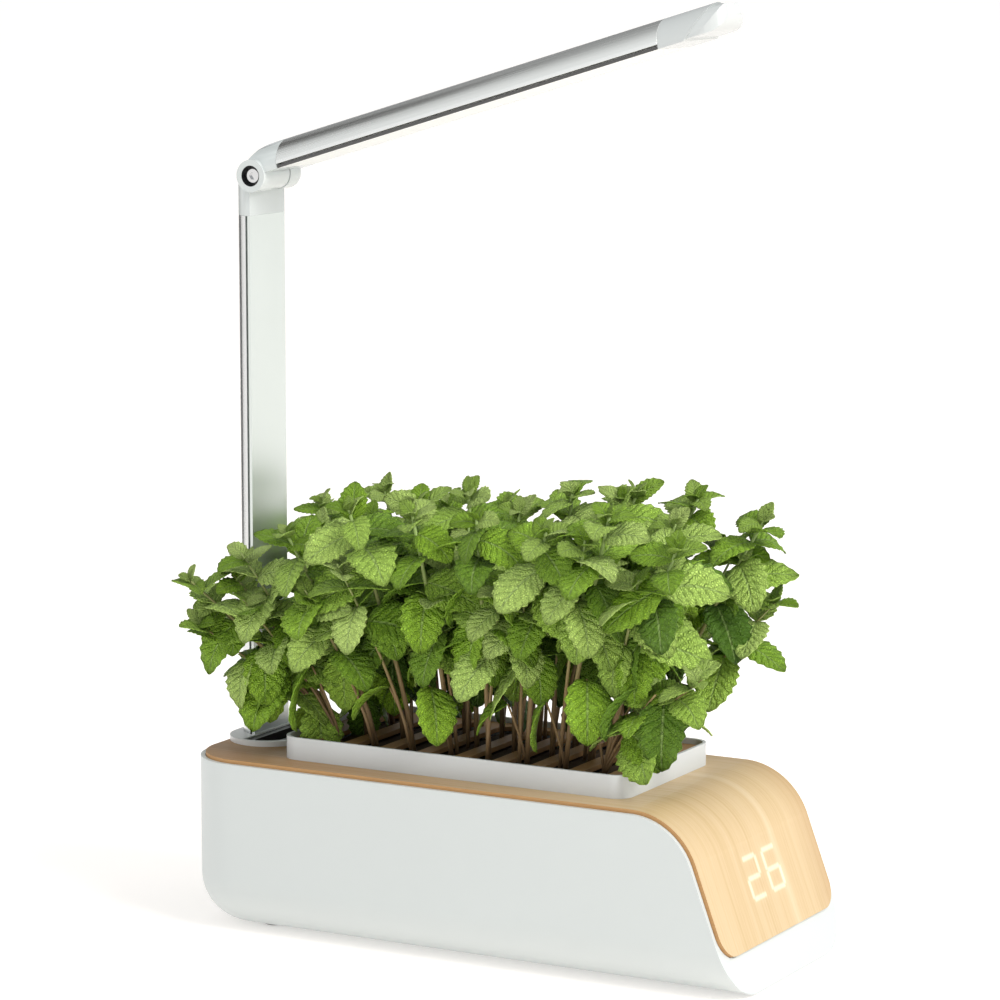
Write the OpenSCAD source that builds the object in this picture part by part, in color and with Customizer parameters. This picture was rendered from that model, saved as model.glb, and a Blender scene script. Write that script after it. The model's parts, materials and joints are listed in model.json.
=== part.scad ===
// Countertop hydroponic garden: a tub with an S-curved wood cover, a slotted planting tray
// that lifts out, a filler and post socket at the rear, and a tilting light arm.
// +X runs to the display end, +Z is up, the origin is on the floor under the tub's middle.

/* [Tub] */
// Overall width of the tub
base_w = 142; // [136:1:160]
// Rear end of the tub, measured back from the origin
rear_x = 169; // [165:1:185]
// Height of the wood cover's flat top above the floor
cover_top = 96; // [92:1:110]
// Flat wood between the tray and the start of the nose curve
nose_gap = 12; // [10:0.2:16]
// Radius of the nose curve
nose_r = 39.5; // [34:0.5:44]
// Slope of the nose below the horizontal
nose_angle = 69.5; // [66:0.5:74]
// Corner radius of the tub seen from above
corner_r = 33; // [31:1:38]
// Radius that rounds the tub's bottom edge
bottom_r = 28; // [20:1:29]
// Wall of the tub
tub_t = 2.6; // [2:0.1:3.4]
// How far the feet stand out below the tub
foot_h = 1.2; // [0.8:0.1:3]
// Diameter of a foot
foot_d = 15; // [10:1:18]

/* [Cover] */
// Thickness of the cover
cover_t = 3.2; // [2.4:0.1:4]
// How far the cover stands proud of the tub's rim
cover_proud = 2; // [1:0.1:2.4]
// Gap between the cover's edge and the tub's wall
cover_gap = 0.3; // [0.2:0.05:0.5]
// Height of the cover's lower edge above the floor
cover_low = 23; // [18:0.5:30]
// Corner radius of the cover's lower edge
cover_corner = 13.5; // [8:0.5:20]

/* [Tray] */
// Length of the tray's rim
tray_l = 210; // [200:1:220]
// Width of the tray's rim
tray_w = 103; // [98:1:112]
// Gap between the collar round the post and the tray
tray_gap = 9.6; // [8:0.1:14]
// Height of the tray's rim above the cover
tray_rim = 12.4; // [9:0.1:20]
// Corner radius of the tray
tray_r = 10; // [6:0.5:14]
// Wall of the tray
tray_t = 1.8; // [1.4:0.1:2.4]
// Depth of the tray below the cover's top
tray_depth = 40; // [30:1:45]
// How far the tray's lower part is set in from its rim
tray_step = 4; // [3:0.1:6]
// Number of planting slots
slots = 8; // [6:1:8]
// Distance between slots
slot_pitch = 23; // [20:0.5:24]
// Width of a slot
slot_w = 14.6; // [12:0.2:16]
// Length of a slot
slot_l = 84; // [76:1:90]
// Thickness of the slotted deck
deck_t = 2.6; // [2:0.1:4]
// Depth of the deck's top below the tray's rim
deck_down = 3; // [2:0.1:5]

/* [Post] */
// Width of the post
post_w = 36; // [35:0.5:38]
// Depth of the post's curved back
post_d = 12.2; // [11.8:0.1:12.6]
// Height of the top of the extrusion above the floor
post_top = 386; // [340:1:430]
// Wall of the extrusions
ext_t = 1.5; // [1.2:0.1:2]
// Thickness of the glossy front panel
panel_t = 1.6; // [1.2:0.1:2]

/* [Filler and socket] */
// Half length of the oval collar along the tub
collar_a = 22; // [21.5:0.5:23]
// Half width of the oval collar
collar_b = 33.5; // [31:0.5:36]
// Height of the collar above the cover
collar_h = 3; // [2:0.1:5]
// Wall of the collar and the filler throat
collar_t = 2.2; // [1.6:0.1:3]
// How far the post's back stands in from the collar's rear end
post_in = 1.2; // [1:0.1:1.6]

/* [Arm] */
// Width of the arm
arm_w = 40; // [38:0.5:44]
// How far the hinge axis stands in front of the post
hinge_out = 2.5; // [1.5:0.1:4]
// Height of the hinge axis above the top of the post extrusion
hinge_up = 22; // [21:0.5:30]
// Radius of the hinge barrel
barrel_r = 8.8; // [8:0.1:10]
// Pitch of the arm above the horizontal at rest
arm_pitch = 16.6; // [0:0.2:40]
// Distance from the hinge axis to the end of the aluminium
arm_l = 256; // [200:1:300]
// Length of the white end cap beyond the aluminium
tip_l = 39; // [34:0.5:50]
// Length of the end cap's hood, along the arm's crest
hood_l = 30; // [24:0.5:32]
// Height of the arm's crest above the hinge axis
arm_crest = 15.7; // [14:0.1:17]
// Height of the aluminium's lower edge above the hinge axis
arm_edge = 2.2; // [1.8:0.1:3]

/* [Plants] */
// Height of the plants above the deck
plant_h = 138; // [100:1:150]
// Length of a large leaf
leaf_l = 34; // [26:1:38]
// Stem diameter
stem_d = 3; // [2.4:0.1:4]

/* [Hidden] */

e = 0.01;                                    // overlap between pieces of one solid
fit = 0.3;                                   // clearance between parts that are assembled
run = 0.05;                                  // radial clearance of a turning or sliding fit
soft = 0.02;                                 // lets an arc cross the straight lines it rounds
panel_gap = 1.2;                             // dark gap between the post and its panel
plate_gap = 0.8;                             // dark gap between the arm and its diffuser
collar_x = rear_x - collar_a;                // middle of the collar, measured back
post_x = rear_x - post_in - post_d - panel_gap - panel_t; // front face of the post, measured back
tray_x = tray_l / 2 + tray_gap + collar_a - collar_x; // middle of the tray
flat_end = tray_x + tray_l / 2 + nose_gap;   // where the flat top ends
front_x = flat_end + nose_r * sin(nose_angle) + (cover_top - nose_r * (1 - cos(nose_angle)))
    / tan(nose_angle);                       // where the cover's slope would meet the floor
tub_z = foot_h;                              // underside of the tub
cover_z = cover_top - cover_t;               // underside of the cover's flat top
half_w = base_w / 2;
cover_in = tub_t + cover_gap;                // inset of the cover's edge from the tub's side
ledge_t = 2;                                 // ledge that carries the cover
tank_t = 1.8;
tank_in = tub_t + ledge_t + 0.6;             // inset of the tank from the tub's side
tank_front = flat_end - 6;
clamp_t = 2.5;
tank_top = cover_z - clamp_t - 1;
tank_z = tub_z + tub_t;                      // underside of the tank
tank_floor = tank_z + tank_t;
tank_rear = rear_x - 18.5;                   // rear face of the tank, measured back
tray_low = cover_top - tray_depth;           // underside of the tray
deck_z = cover_top + tray_rim - deck_down;   // top of the deck
medium_z = deck_z - deck_t;                  // top of the growing medium
hinge_x = post_x - hinge_out;                // hinge axis, measured back
hinge_z = post_top + hinge_up;
barrel_l = arm_w + 1;                        // length of the hinge barrel
barrel_y = -arm_w / 2 - 1;                   // near end of the barrel
lug_w = 12;                                  // width of the fixed lug inside the barrel
washer_t = 0.5;
screw_d = 3;
head_d = 7.4;                                // socket head of the hinge screw
head_l = 2;
recess_d = 11.4;
recess_l = 4.6;
lip_down = 4.5;                              // from the hinge axis down to the post cap's lip
cradle_gap = 0.4;                            // between the barrel and the cap's cradle
insert_d = 5;
insert_l = 7;
insert_y = lug_w / 2 + washer_t + 1.5;       // inner end of the insert, from the arm's middle
collar_z = cover_top + collar_h;
post_z = collar_z - 1;                       // foot of the extrusion
panel_w = post_w - 0.4;
panel_rails = post_w - 7;                    // width over the rails on the panel's back
plate_w = arm_w - 1;                         // width of the arm's diffuser
plate_rails = arm_w - 11;                    // width over the rails on the diffuser's back
rail_t = 2;
rail_h = 1.6;                                // how far a rail reaches into its extrusion
ext_x = post_x + panel_t + panel_gap;        // flat side of the post's extrusion
spigot_h = 26;
neck_in = 6;                                 // the socket's neck, in from its collar
throat_x = tank_rear - tank_t - 1;           // rear wall of the filler throat
board_t = 1.6;
hatch_l = 44;
hatch_w = 50;
hatch_x = tank_front + 28;
hatch_t = 1.6;
port_z = 40;                                 // height of the rear inlet and button
inlet_y = 26;
inlet_d = 5.6;
inlet_body = 10.6;
inlet_l = 12;
button_y = -26;
button_d = 9;
button_out = 1.5;                            // how far the button stands out at rest
button_travel = 0.8;
switch_l = 7;
pump_x = -98;
pump_l = 40;
pump_w = 32;
pump_h = 26;
pump_z = tank_floor + 2;
impeller_d = 16;
impeller_l = 8;
shaft_d = 2;
hose_d = 7;
digit_h = 24;                                // height of a digit, along the slope
digit_w = 15;
digit_pitch = 23;
digit_t = 2.6;                               // width of a segment
display_s = 17;                              // middle of the digits, down the slope
foot_places = [[-rear_x + 42, 38], [-rear_x + 42, -38], [front_x - 33, 34], [front_x - 33, -34],
    [0, 0]];
hatch_places = [for (sx = [-1, 1], sy = [-1, 1])
    [hatch_x + sx * (hatch_l / 2 - 5), sy * (hatch_w / 2 - 5)]];
board_gap = 4;                               // from the cover's underside to the display board
board_l = 36;                                // display board, down the slope and across
board_w = 58;
stud_places = [for (sx = [-1, 1], sy = [-1, 1]) [sx * (board_l / 2 - 3), sy * (board_w / 2 - 3)]];
stand_l = 5;                                 // standoffs between the tank and the control board
control_h = 44;                              // board that drives the pump, lamp and display
control_w = 62;
control_z = 45;
chip_w = 11;                                 // side of the processor
chip_t = 2;
cap_d = 7;                                   // capacitors
cap_l = 9;
stand_places = [for (sy = [-1, 1], sz = [-1, 1])
    [sy * (control_w / 2 - 4), control_z + sz * (control_h / 2 - 4)]];
clamp_places = [[-throat_x - 9, 14], [-throat_x - 9, -14]];
lug_r = barrel_r - 0.4;                      // fixed lug, just inside the barrel
ext_start = 17;                              // where the aluminium starts, from the axis
plate_low = arm_edge - plate_gap - panel_t;  // outer face of the diffuser
cavity_w = arm_w - 3 * ext_t;                // hollow of the arm's extrusion
cavity_h = arm_crest - arm_edge - ext_t;
flange_t = 1;                                // flanges of the extrusion above the LED board
led_w = arm_w - 9;                           // width of the LED board
led_z = arm_edge + 1.8;                      // underside of the LED board
led_pitch = 16;
led_row = 6;                                 // from the board's middle to a row of LEDs
led_d = 3.5;
led_t = 0.8;
spigot_l = 12;                               // spigots of the knuckle and the end cap
led_start = ext_start + spigot_l;
led_end = arm_l - spigot_l;
slot_places = [for (i = [0 : slots - 1]) tray_x + (i - (slots - 1) / 2) * slot_pitch];
inner_l = tray_l - 2 * tray_t;               // the tray between its walls
inner_w = tray_w - 2 * tray_t;
medium_top = medium_z - 1;
plant_y = slot_l / 3;                        // distance between the plants of a slot
row_lean = [-60, -42, -26, -10, 6, 24, 38, 54]; // how far each row's tops lean along the tub
row_drop = [28, 19, 14, 7, 9, 1, 0, 10];     // how much lower than the tallest each row ends
lean_y = 24;                                 // how far the outer plants' tops lean sideways
corner_lean = -22;                           // the rear near plant leans further and ends lower
corner_drop = 26;
first_leaf = 128;                            // height of the lowest leaves above the floor
whorl = 22;                                  // height between pairs of leaves
whorls = 5;
foliage_top = deck_z + plant_h + 13;

// Point on the nose slope: s along it from the end of the curve, d below its surface.
function slope_pt(s, d) = [
    flat_end + (nose_r - d) * sin(nose_angle) + s * cos(nose_angle),
    cover_top - nose_r + (nose_r - d) * cos(nose_angle) - s * sin(nose_angle)];

// Radius of the arc through the two edges and the crest of a D-shaped section.
function d_radius(w, h) = (w * w / 4 + h * h) / (2 * h);

// D-shaped section: flat side on y = 0, crest at y = h.
module d_section(w, h) {
    r = d_radius(w, h);
    intersection() {
        translate([0, h - r]) circle(r, $fn = 180);
        translate([-w, 0]) square([2 * w, h + 1]);
    }
}

// Rounded rectangle from exact circles and squares.
module round_rect(l, w, r) {
    square([l - 2 * r, w], center = true);
    square([l, w - 2 * r], center = true);
    for (sx = [-1, 1], sy = [-1, 1])
        translate([sx * (l / 2 - r), sy * (w / 2 - r)]) circle(r, $fn = 64);
}

// Slot with round ends, along Y.
module stadium(l, w) {
    square([w, l - w], center = true);
    for (s = [-1, 1]) translate([0, s * (l - w) / 2]) circle(w / 2, $fn = 48);
}

// What rounding with radius r takes off a corner: everything outside a circle in the quarter
// or sector that the two far points span from the circle's middle.
module corner_waste(r, far_a, far_b) {
    difference() {
        polygon([[0, 0], 2 * far_a, 2 * (far_a + far_b), 2 * far_b]);
        circle(r + soft, $fn = 180);
    }
}

// Side view of everything below the S-curve, d under the cover's surface.
module s_profile(d, z0) {
    r = nose_r - d;
    centre = [flat_end, cover_top - nose_r];
    foot = slope_pt((cover_top - nose_r + r * cos(nose_angle) - z0) / sin(nose_angle), d);
    difference() {
        polygon([[-rear_x - 10, z0], [-rear_x - 10, cover_top - d],
            centre + [r * tan(nose_angle / 2), r], foot]);
        translate(centre) corner_waste(r, [0, r], r * [sin(nose_angle), cos(nose_angle)]);
    }
}

// Section of the tub's side: a straight wall over a round bottom edge.
module side_section(reach, z0, z1, r) {
    translate([0, z0 + r]) square([reach, z1 - z0 - r]);
    square_l = reach - r;
    translate([0, z0]) square([square_l, 2 * r]);
    translate([square_l, z0 + r]) circle(r, $fn = 96);
}

// The tub's solid, set in by d all round, with a round bottom edge and round rear corners.
module tub_form(d, z0, z1) {
    r = corner_r - d;
    b = bottom_r - d;
    flat = half_w - corner_r;
    cx = -rear_x + corner_r;
    for (s = [0, 1]) mirror([0, s, 0]) {
        translate([cx, flat, 0]) rotate([0, 0, 90]) rotate_extrude(angle = 90, $fn = 96)
            intersection() {
                side_section(r, z0, z1, b);
                square([r + 1, z1 + 1]);
            }
        translate([cx, 0, 0]) rotate([90, 0, 90]) linear_extrude(front_x + 20 - cx)
            intersection() {
                side_section(half_w - d, z0, z1, b);
                square([half_w, z1 + 1]);
            }
    }
    translate([cx, flat, 0]) rotate([90, 0, 0]) linear_extrude(2 * flat)
        mirror([1, 0]) intersection() {
            side_section(r, z0, z1, b);
            square([r + 1, z1 + 1]);
        }
}

// Everything under the S-curve at depth d, cut to the tub's plan set in by inset.
module under_curve(inset, d, z0) {
    intersection() {
        tub_form(inset, z0, cover_top + 1);
        translate([0, half_w + 1, 0]) rotate([90, 0, 0]) linear_extrude(base_w + 2)
            s_profile(d, z0 - 1);
    }
}

// Frame of reference on the nose slope: X down the slope, Z out of it, origin s down it.
module on_slope(s, d) {
    p = slope_pt(s, d);
    translate([p[0], 0, p[1]]) rotate([0, nose_angle, 0]) children();
}

module screw(d, l, head_d, head_h) {
    translate([0, 0, -e]) cylinder(d = d, h = l + e, $fn = 24);
    difference() {
        translate([0, 0, -head_h]) cylinder(d = head_d, h = head_h, $fn = 32);
        for (a = [0, 90]) rotate([0, 0, a])
            translate([-head_d * 0.3, -head_d * 0.07, -head_h - e])
                cube([head_d * 0.6, head_d * 0.14, head_h * 0.5]);
    }
}

// Everything above the cover's lower edge, with rounded corners at that edge.
module above_edge(inset, grow) {
    low = (slope_pt(0, 0)[1] - cover_low) / sin(nose_angle) + grow;
    r = cover_corner + grow;
    w = half_w - inset;
    on_slope(0, 0) translate([0, 0, -2 * rear_x]) linear_extrude(2 * rear_x + 30) difference() {
        translate([-2 * rear_x, -half_w - 5]) square([2 * rear_x + low, base_w + 10]);
        for (s = [-1, 1]) translate([low - r, s * (w - r)])
            corner_waste(r, [r, 0], [0, s * r]);
    }
}

// Outer tub: one moulding whose rim follows the S-curve, with a ledge under the cover.
module tub() {
    color("whitesmoke") difference() {
        under_curve(0, cover_proud, tub_z);
        under_curve(tub_t, cover_proud + tub_t, tub_z + tub_t);
        intersection() {
            difference() {
                under_curve(tub_t, -1, tub_z + tub_t);
                under_curve(0, cover_t, tub_z);
            }
            above_edge(tub_t, cover_gap);
        }
        intersection() {
            under_curve(tub_t + ledge_t, -1, tub_z + tub_t);
            above_edge(tub_t + ledge_t, -ledge_t);
        }
        translate([hatch_x, 0, tub_z - e]) linear_extrude(hatch_t + e)
            round_rect(hatch_l + 2 * fit, hatch_w + 2 * fit, 5);
        translate([hatch_x, 0, tub_z]) linear_extrude(tub_t + 1)
            round_rect(hatch_l - 18, hatch_w - 18, 4);
        for (p = hatch_places) translate([p[0], p[1], tub_z]) cylinder(d = 2.6, h = 4, $fn = 24);
        for (p = foot_places) translate([p[0], p[1], tub_z - e])
            cylinder(d = foot_d, h = 0.8 + e, $fn = 48);
        for (port = [[inlet_y, inlet_body + 0.4], [button_y, button_d + 0.4]])
            translate([-rear_x - 1, port[0], port_z]) rotate([0, 90, 0])
                cylinder(d = port[1], h = tub_t + 2, $fn = 48);
    }
}

// One bar of a seven-segment digit, in the digit's own plane: X down, Y across.
module segment(k, grow, len) {
    h = digit_h / 2 - digit_t / 2;
    w = digit_w / 2 - digit_t / 2;
    across = [[-h, 0], [0, 0], [h, 0]];
    down = [[-h / 2, w], [h / 2, w], [h / 2, -w], [-h / 2, -w]];
    p = k < 3 ? across[k] : down[k - 3];
    size = k < 3 ? [digit_t, 2 * w - digit_t - 0.6] : [h - digit_t - 0.6, digit_t];
    translate([p[0] - size[0] / 2 - grow, p[1] - size[1] / 2 - grow, 0])
        cube([size[0] + 2 * grow, size[1] + 2 * grow, len]);
}

// The fourteen light guides of two digits, from depth d_low up to depth d_high.
module segments(grow, d_low, d_high) {
    on_slope(display_s, d_low) for (digit = [-1, 1], k = [0 : 6])
        translate([0, digit * digit_pitch / 2, 0]) segment(k, grow, d_low - d_high);
}

// Wood cover: a sheet bent along the S-curve, with openings for the tray and the socket.
module wood_cover() {
    color("burlywood") difference() {
        union() {
            intersection() {
                difference() {
                    under_curve(cover_in, 0, tub_z + 5);
                    under_curve(0, cover_t, tub_z);
                }
                above_edge(cover_in, 0);
            }
            on_slope(display_s, cover_t + board_gap) for (p = stud_places)
                translate([p[0], p[1], 0]) cylinder(d = 4, h = board_gap + 1, $fn = 24);
        }
        translate([tray_x, 0, cover_z - 1]) linear_extrude(cover_t + 2)
            round_rect(tray_l - 2 * tray_step + 2 * fit, tray_w - 2 * tray_step + 2 * fit,
                tray_r - tray_step + fit);
        translate([-collar_x, 0, cover_z - 1]) linear_extrude(cover_t + 2)
            stadium(2 * (collar_b - neck_in + fit), 2 * (collar_a - neck_in + fit));
        segments(0.2, cover_t + 1, 0.5);
    }
}

module feet() {
    color("dimgray") for (p = foot_places) translate([p[0], p[1], 0]) {
        cylinder(d1 = foot_d - 1.6, d2 = foot_d - 0.4, h = foot_h, $fn = 48);
        translate([0, 0, foot_h - e]) cylinder(d = foot_d - 0.4, h = 0.8 + e, $fn = 48);
    }
}

module service_hatch() {
    color("gainsboro") difference() {
        translate([hatch_x, 0, tub_z]) linear_extrude(hatch_t) round_rect(hatch_l, hatch_w, 5 - fit);
        for (p = hatch_places) translate([p[0], p[1], tub_z - e])
            cylinder(d1 = 5.2, d2 = 2.8, h = hatch_t + 2 * e, $fn = 32);
    }
}

module hatch_screws() {
    color("silver") for (p = hatch_places) translate([p[0], p[1], tub_z]) {
        cylinder(d = 2.4, h = 3.6, $fn = 24);
        difference() {
            cylinder(d1 = 4.8, d2 = 2.4, h = 1.4, $fn = 32);
            for (a = [0, 90]) rotate([0, 0, a]) translate([-1.4, -0.3, -e]) cube([2.8, 0.6, 0.7]);
        }
    }
}

// Water tank: an open liner that follows the tub inside, with standoffs on its front wall.
module water_tank() {
    color("lightsteelblue") {
        difference() {
            intersection() {
                tub_form(tank_in, tank_z, tank_top);
                translate([-tank_rear, -half_w, 0]) cube([tank_rear + tank_front, base_w, cover_top]);
            }
            intersection() {
                tub_form(tank_in + tank_t, tank_floor, tank_top + 1);
                translate([-tank_rear + tank_t, -half_w, 0])
                    cube([tank_rear + tank_front - 2 * tank_t, base_w, cover_top]);
            }
        }
        for (p = stand_places) translate([tank_front - e, p[0], p[1]]) rotate([0, 90, 0])
            cylinder(d = 5, h = stand_l + e, $fn = 32);
    }
}

// Submersible pump: a rounded housing on feet with an open impeller chamber at its end.
module pump_body() {
    color("dimgray") difference() {
        union() {
            translate([pump_x, 0, pump_z]) linear_extrude(pump_h) round_rect(pump_l, pump_w, 6);
            for (sx = [-1, 1], sy = [-1, 1])
                translate([pump_x + sx * 13, sy * 9, tank_floor]) cylinder(d = 7, h = 3, $fn = 32);
            translate([pump_x, 0, pump_z + pump_h - e]) cylinder(d = hose_d - 2.1, h = 6, $fn = 32);
        }
        translate([pump_x, 0, pump_z + pump_h / 2])
            cylinder(d = hose_d - 4, h = pump_h, $fn = 32);
        translate([pump_x + pump_l / 2 - 12, 0, pump_z + pump_h / 2]) rotate([0, 90, 0])
            cylinder(d = impeller_d + 3, h = 13, $fn = 48);
        translate([pump_x + pump_l / 2 - 18, 0, pump_z + pump_h / 2]) rotate([0, 90, 0])
            cylinder(d = shaft_d, h = 7, $fn = 24);
    }
}

module pump_shaft() {
    color("silver") translate([pump_x + pump_l / 2 - 18, 0, pump_z + pump_h / 2])
        rotate([0, 90, 0]) cylinder(d = shaft_d, h = 16, $fn = 24);
}

module pump_impeller() {
    color("white") translate([pump_x + pump_l / 2 - 11, 0, pump_z + pump_h / 2])
        rotate([0, 90, 0]) difference() {
            union() {
                cylinder(d = 6, h = impeller_l, $fn = 32);
                cylinder(d = impeller_d, h = 1.2, $fn = 48);
                for (k = [0 : 5]) rotate([0, 0, 60 * k]) translate([1, -0.5, 0])
                    cube([impeller_d / 2 - 1.3, 1, impeller_l]);
            }
            translate([0, 0, -1]) cylinder(d = shaft_d + 2 * run, h = impeller_l + 2, $fn = 24);
        }
}

module pump_strainer() {
    color("slategray") translate([pump_x + pump_l / 2, 0, pump_z + pump_h / 2]) rotate([90, 0, 90])
        difference() {
            linear_extrude(4) round_rect(pump_w - 8, pump_h - 4, 4);
            translate([0, 0, -1]) cylinder(d = impeller_d, h = 3, $fn = 48);
            for (k = [-3 : 3]) translate([k * 2.6 - 0.6, -8, 1]) cube([1.2, 16, 4]);
        }
}

module riser_hose() {
    color("gainsboro") translate([pump_x, 0, pump_z + pump_h]) difference() {
        cylinder(d = hose_d, h = tray_low - pump_z - pump_h - 1.5, $fn = 40);
        translate([0, 0, -1]) cylinder(d = hose_d - 2, h = tray_low, $fn = 40);
    }
}

// D section, flat side towards +X at x, standing from z0.
module post_form(x, w, h, z0, l) {
    translate([-x, 0, z0]) linear_extrude(l) rotate([0, 0, 90]) d_section(w, h);
}

// Outline of the whole post, extrusion and panel, grown by g.
module post_outline(g, z0, l) {
    front = ext_x - post_x + g;
    translate([-ext_x, 0, z0]) linear_extrude(l) rotate([0, 0, 90]) {
        d_section(post_w + 2 * g, post_d + g);
        translate([-panel_w / 2 - g, -front]) square([panel_w + 2 * g, front + e]);
    }
}

// Spigot that fits inside the post's extrusion, behind the panel's rails.
module post_spigot(z0) {
    post_form(ext_x + rail_t + fit, panel_rails, post_d - ext_t - rail_t - 2 * fit, z0, spigot_h);
}

// Oval collar round the post's foot: holds the post and forms the water filler in front of it.
module filler_socket() {
    color("white") difference() {
        union() {
            translate([-collar_x, 0, cover_top]) linear_extrude(collar_h)
                stadium(2 * collar_b, 2 * collar_a);
            translate([-collar_x, 0, cover_z + 0.2]) linear_extrude(cover_t)
                stadium(2 * (collar_b - neck_in), 2 * (collar_a - neck_in));
        }
        post_outline(0.1, post_z, collar_h);
        translate([-collar_x, 0, post_z]) intersection() {
            linear_extrude(collar_h) stadium(2 * (collar_b - collar_t), 2 * (collar_a - collar_t));
            translate([collar_x - post_x + 1, -collar_b, 0]) cube([2 * collar_a, 2 * collar_b, 9]);
        }
        translate([-collar_x, 0, cover_z - 1]) linear_extrude(cover_t + collar_h + 2)
            intersection() {
                stadium(2 * (collar_b - neck_in - collar_t), 2 * (collar_a - neck_in - collar_t));
                translate([collar_x - throat_x, -collar_b]) square([2 * collar_a, 2 * collar_b]);
            }
        for (p = clamp_places) translate([p[0], p[1], cover_z - 1])
            cylinder(d = 2.5, h = cover_t + 2.5, $fn = 24);
    }
    color("white") post_spigot(post_z - e);
}

module socket_clamp() {
    color("gainsboro") difference() {
        translate([-collar_x, 0, cover_z - clamp_t]) linear_extrude(clamp_t) intersection() {
            stadium(2 * (collar_b - 1), 2 * (collar_a - 2));
            translate([collar_x - rear_x + tub_t + ledge_t + 1, -collar_b])
                square([2 * collar_a, 2 * collar_b]);
        }
        translate([-collar_x, 0, cover_z - clamp_t - 1]) linear_extrude(clamp_t + 2)
            intersection() {
                stadium(2 * (collar_b - neck_in - collar_t), 2 * (collar_a - neck_in - collar_t));
                translate([collar_x - throat_x, -collar_b]) square([2 * collar_a, 2 * collar_b]);
            }
        for (p = clamp_places) translate([p[0], p[1], cover_z - clamp_t - 1])
            cylinder(d = 2.8, h = clamp_t + 2, $fn = 24);
    }
}

module clamp_screws() {
    color("silver") for (p = clamp_places) translate([p[0], p[1], cover_z - clamp_t])
        screw(2.4, clamp_t + 4, 5, 1.8);
}

// Post: an aluminium D extrusion, open at the front where the panel clips in.
module post_extrusion() {
    color("silver") difference() {
        post_form(ext_x, post_w, post_d, post_z, post_top - post_z);
        post_form(ext_x - e, post_w - 3 * ext_t, post_d - ext_t, post_z - 1,
            post_top - post_z + 2);
    }
}

// Plate with two clip rails on its back; X is across, Y is up from its face.
module rail_plate(w, rails, gap, l) {
    translate([-w / 2, 0, 0]) cube([w, panel_t, l]);
    for (s = [0, 1]) mirror([s, 0, 0])
        translate([rails / 2 - rail_t, panel_t - e, 0]) cube([rail_t, gap + rail_h + e, l]);
}

module post_panel() {
    color("lightgray") translate([-post_x, 0, post_z]) rotate([0, 0, 90])
        rail_plate(panel_w, panel_rails, panel_gap, post_top - post_z);
}

// Cap on the post: a spigot below, a cradle for the barrel and the fixed lug of the hinge.
module hinge_base() {
    cradle_r = barrel_r + cradle_gap;
    color("white") difference() {
        union() {
            difference() {
                post_outline(0, post_top, hinge_up - lip_down);
                translate([-hinge_x, post_w, hinge_z]) rotate([90, 0, 0])
                    cylinder(r = cradle_r, h = 2 * post_w, $fn = 96);
            }
            post_spigot(post_top - spigot_h + e);
            translate([-hinge_x, lug_w / 2, hinge_z]) rotate([90, 0, 0]) linear_extrude(lug_w) {
                circle(lug_r, $fn = 96);
                intersection() {
                    circle(cradle_r + 0.2, $fn = 96);
                    translate([-2 * cradle_r, -2 * cradle_r])
                        square([2 * cradle_r - hinge_out, 2 * cradle_r - lip_down - 0.2]);
                }
            }
        }
        translate([-hinge_x, lug_w, hinge_z]) rotate([90, 0, 0])
            cylinder(d = screw_d + 2 * run, h = 2 * lug_w, $fn = 48);
    }
}

module friction_washers() {
    color("dimgray") for (s = [-1, 1]) translate([-hinge_x, s * (lug_w + washer_t) / 2, hinge_z])
        rotate([90, 0, 0]) difference() {
            cylinder(d = 2 * lug_r - 2, h = washer_t, center = true, $fn = 64);
            cylinder(d = screw_d + 2 * run, h = 1, center = true, $fn = 48);
        }
}

// Place of a piece on the arm: X runs along it from the hinge axis, Z is its crest side.
module on_arm() {
    translate([-hinge_x, 0, hinge_z]) rotate([0, -arm_pitch, 0]) children();
}

// Spigot of the knuckle or the end cap inside the arm's extrusion, from x0 to x1.
module arm_spigot(x0, x1) {
    intersection() {
        arm_form(cavity_w - 2 * fit, arm_edge, cavity_h - fit, x0, x1);
        translate([x0 - 1, -arm_w, led_z + board_t + flange_t + fit])
            cube([x1 - x0 + 2, 2 * arm_w, arm_crest]);
    }
}

// Length of the arm's section from x0 to x1; the flat side is at height z.
module arm_form(w, z, h, x0, x1) {
    translate([x0, 0, z]) rotate([90, 0, 90]) linear_extrude(x1 - x0) d_section(w, h);
}

module hinge_screw() {
    color("silver") translate([-hinge_x, barrel_y + recess_l, hinge_z]) rotate([-90, 0, 0]) {
        translate([0, 0, -e]) cylinder(d = screw_d, h = insert_y + 4 - barrel_y - recess_l + e,
            $fn = 24);
        translate([0, 0, -head_l]) difference() {
            cylinder(d = head_d, h = head_l, $fn = 48);
            translate([0, 0, -e]) cylinder(d = 0.62 * head_d, h = 0.75 * head_l, $fn = 6);
        }
    }
}

module hinge_insert() {
    color("goldenrod") translate([-hinge_x, insert_y, hinge_z])
        rotate([-90, 0, 0]) difference() {
            cylinder(d = insert_d, h = insert_l, $fn = 48);
            translate([0, 0, -1]) cylinder(d = screw_d + 2 * run, h = insert_l + 2, $fn = 48);
        }
}

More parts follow.
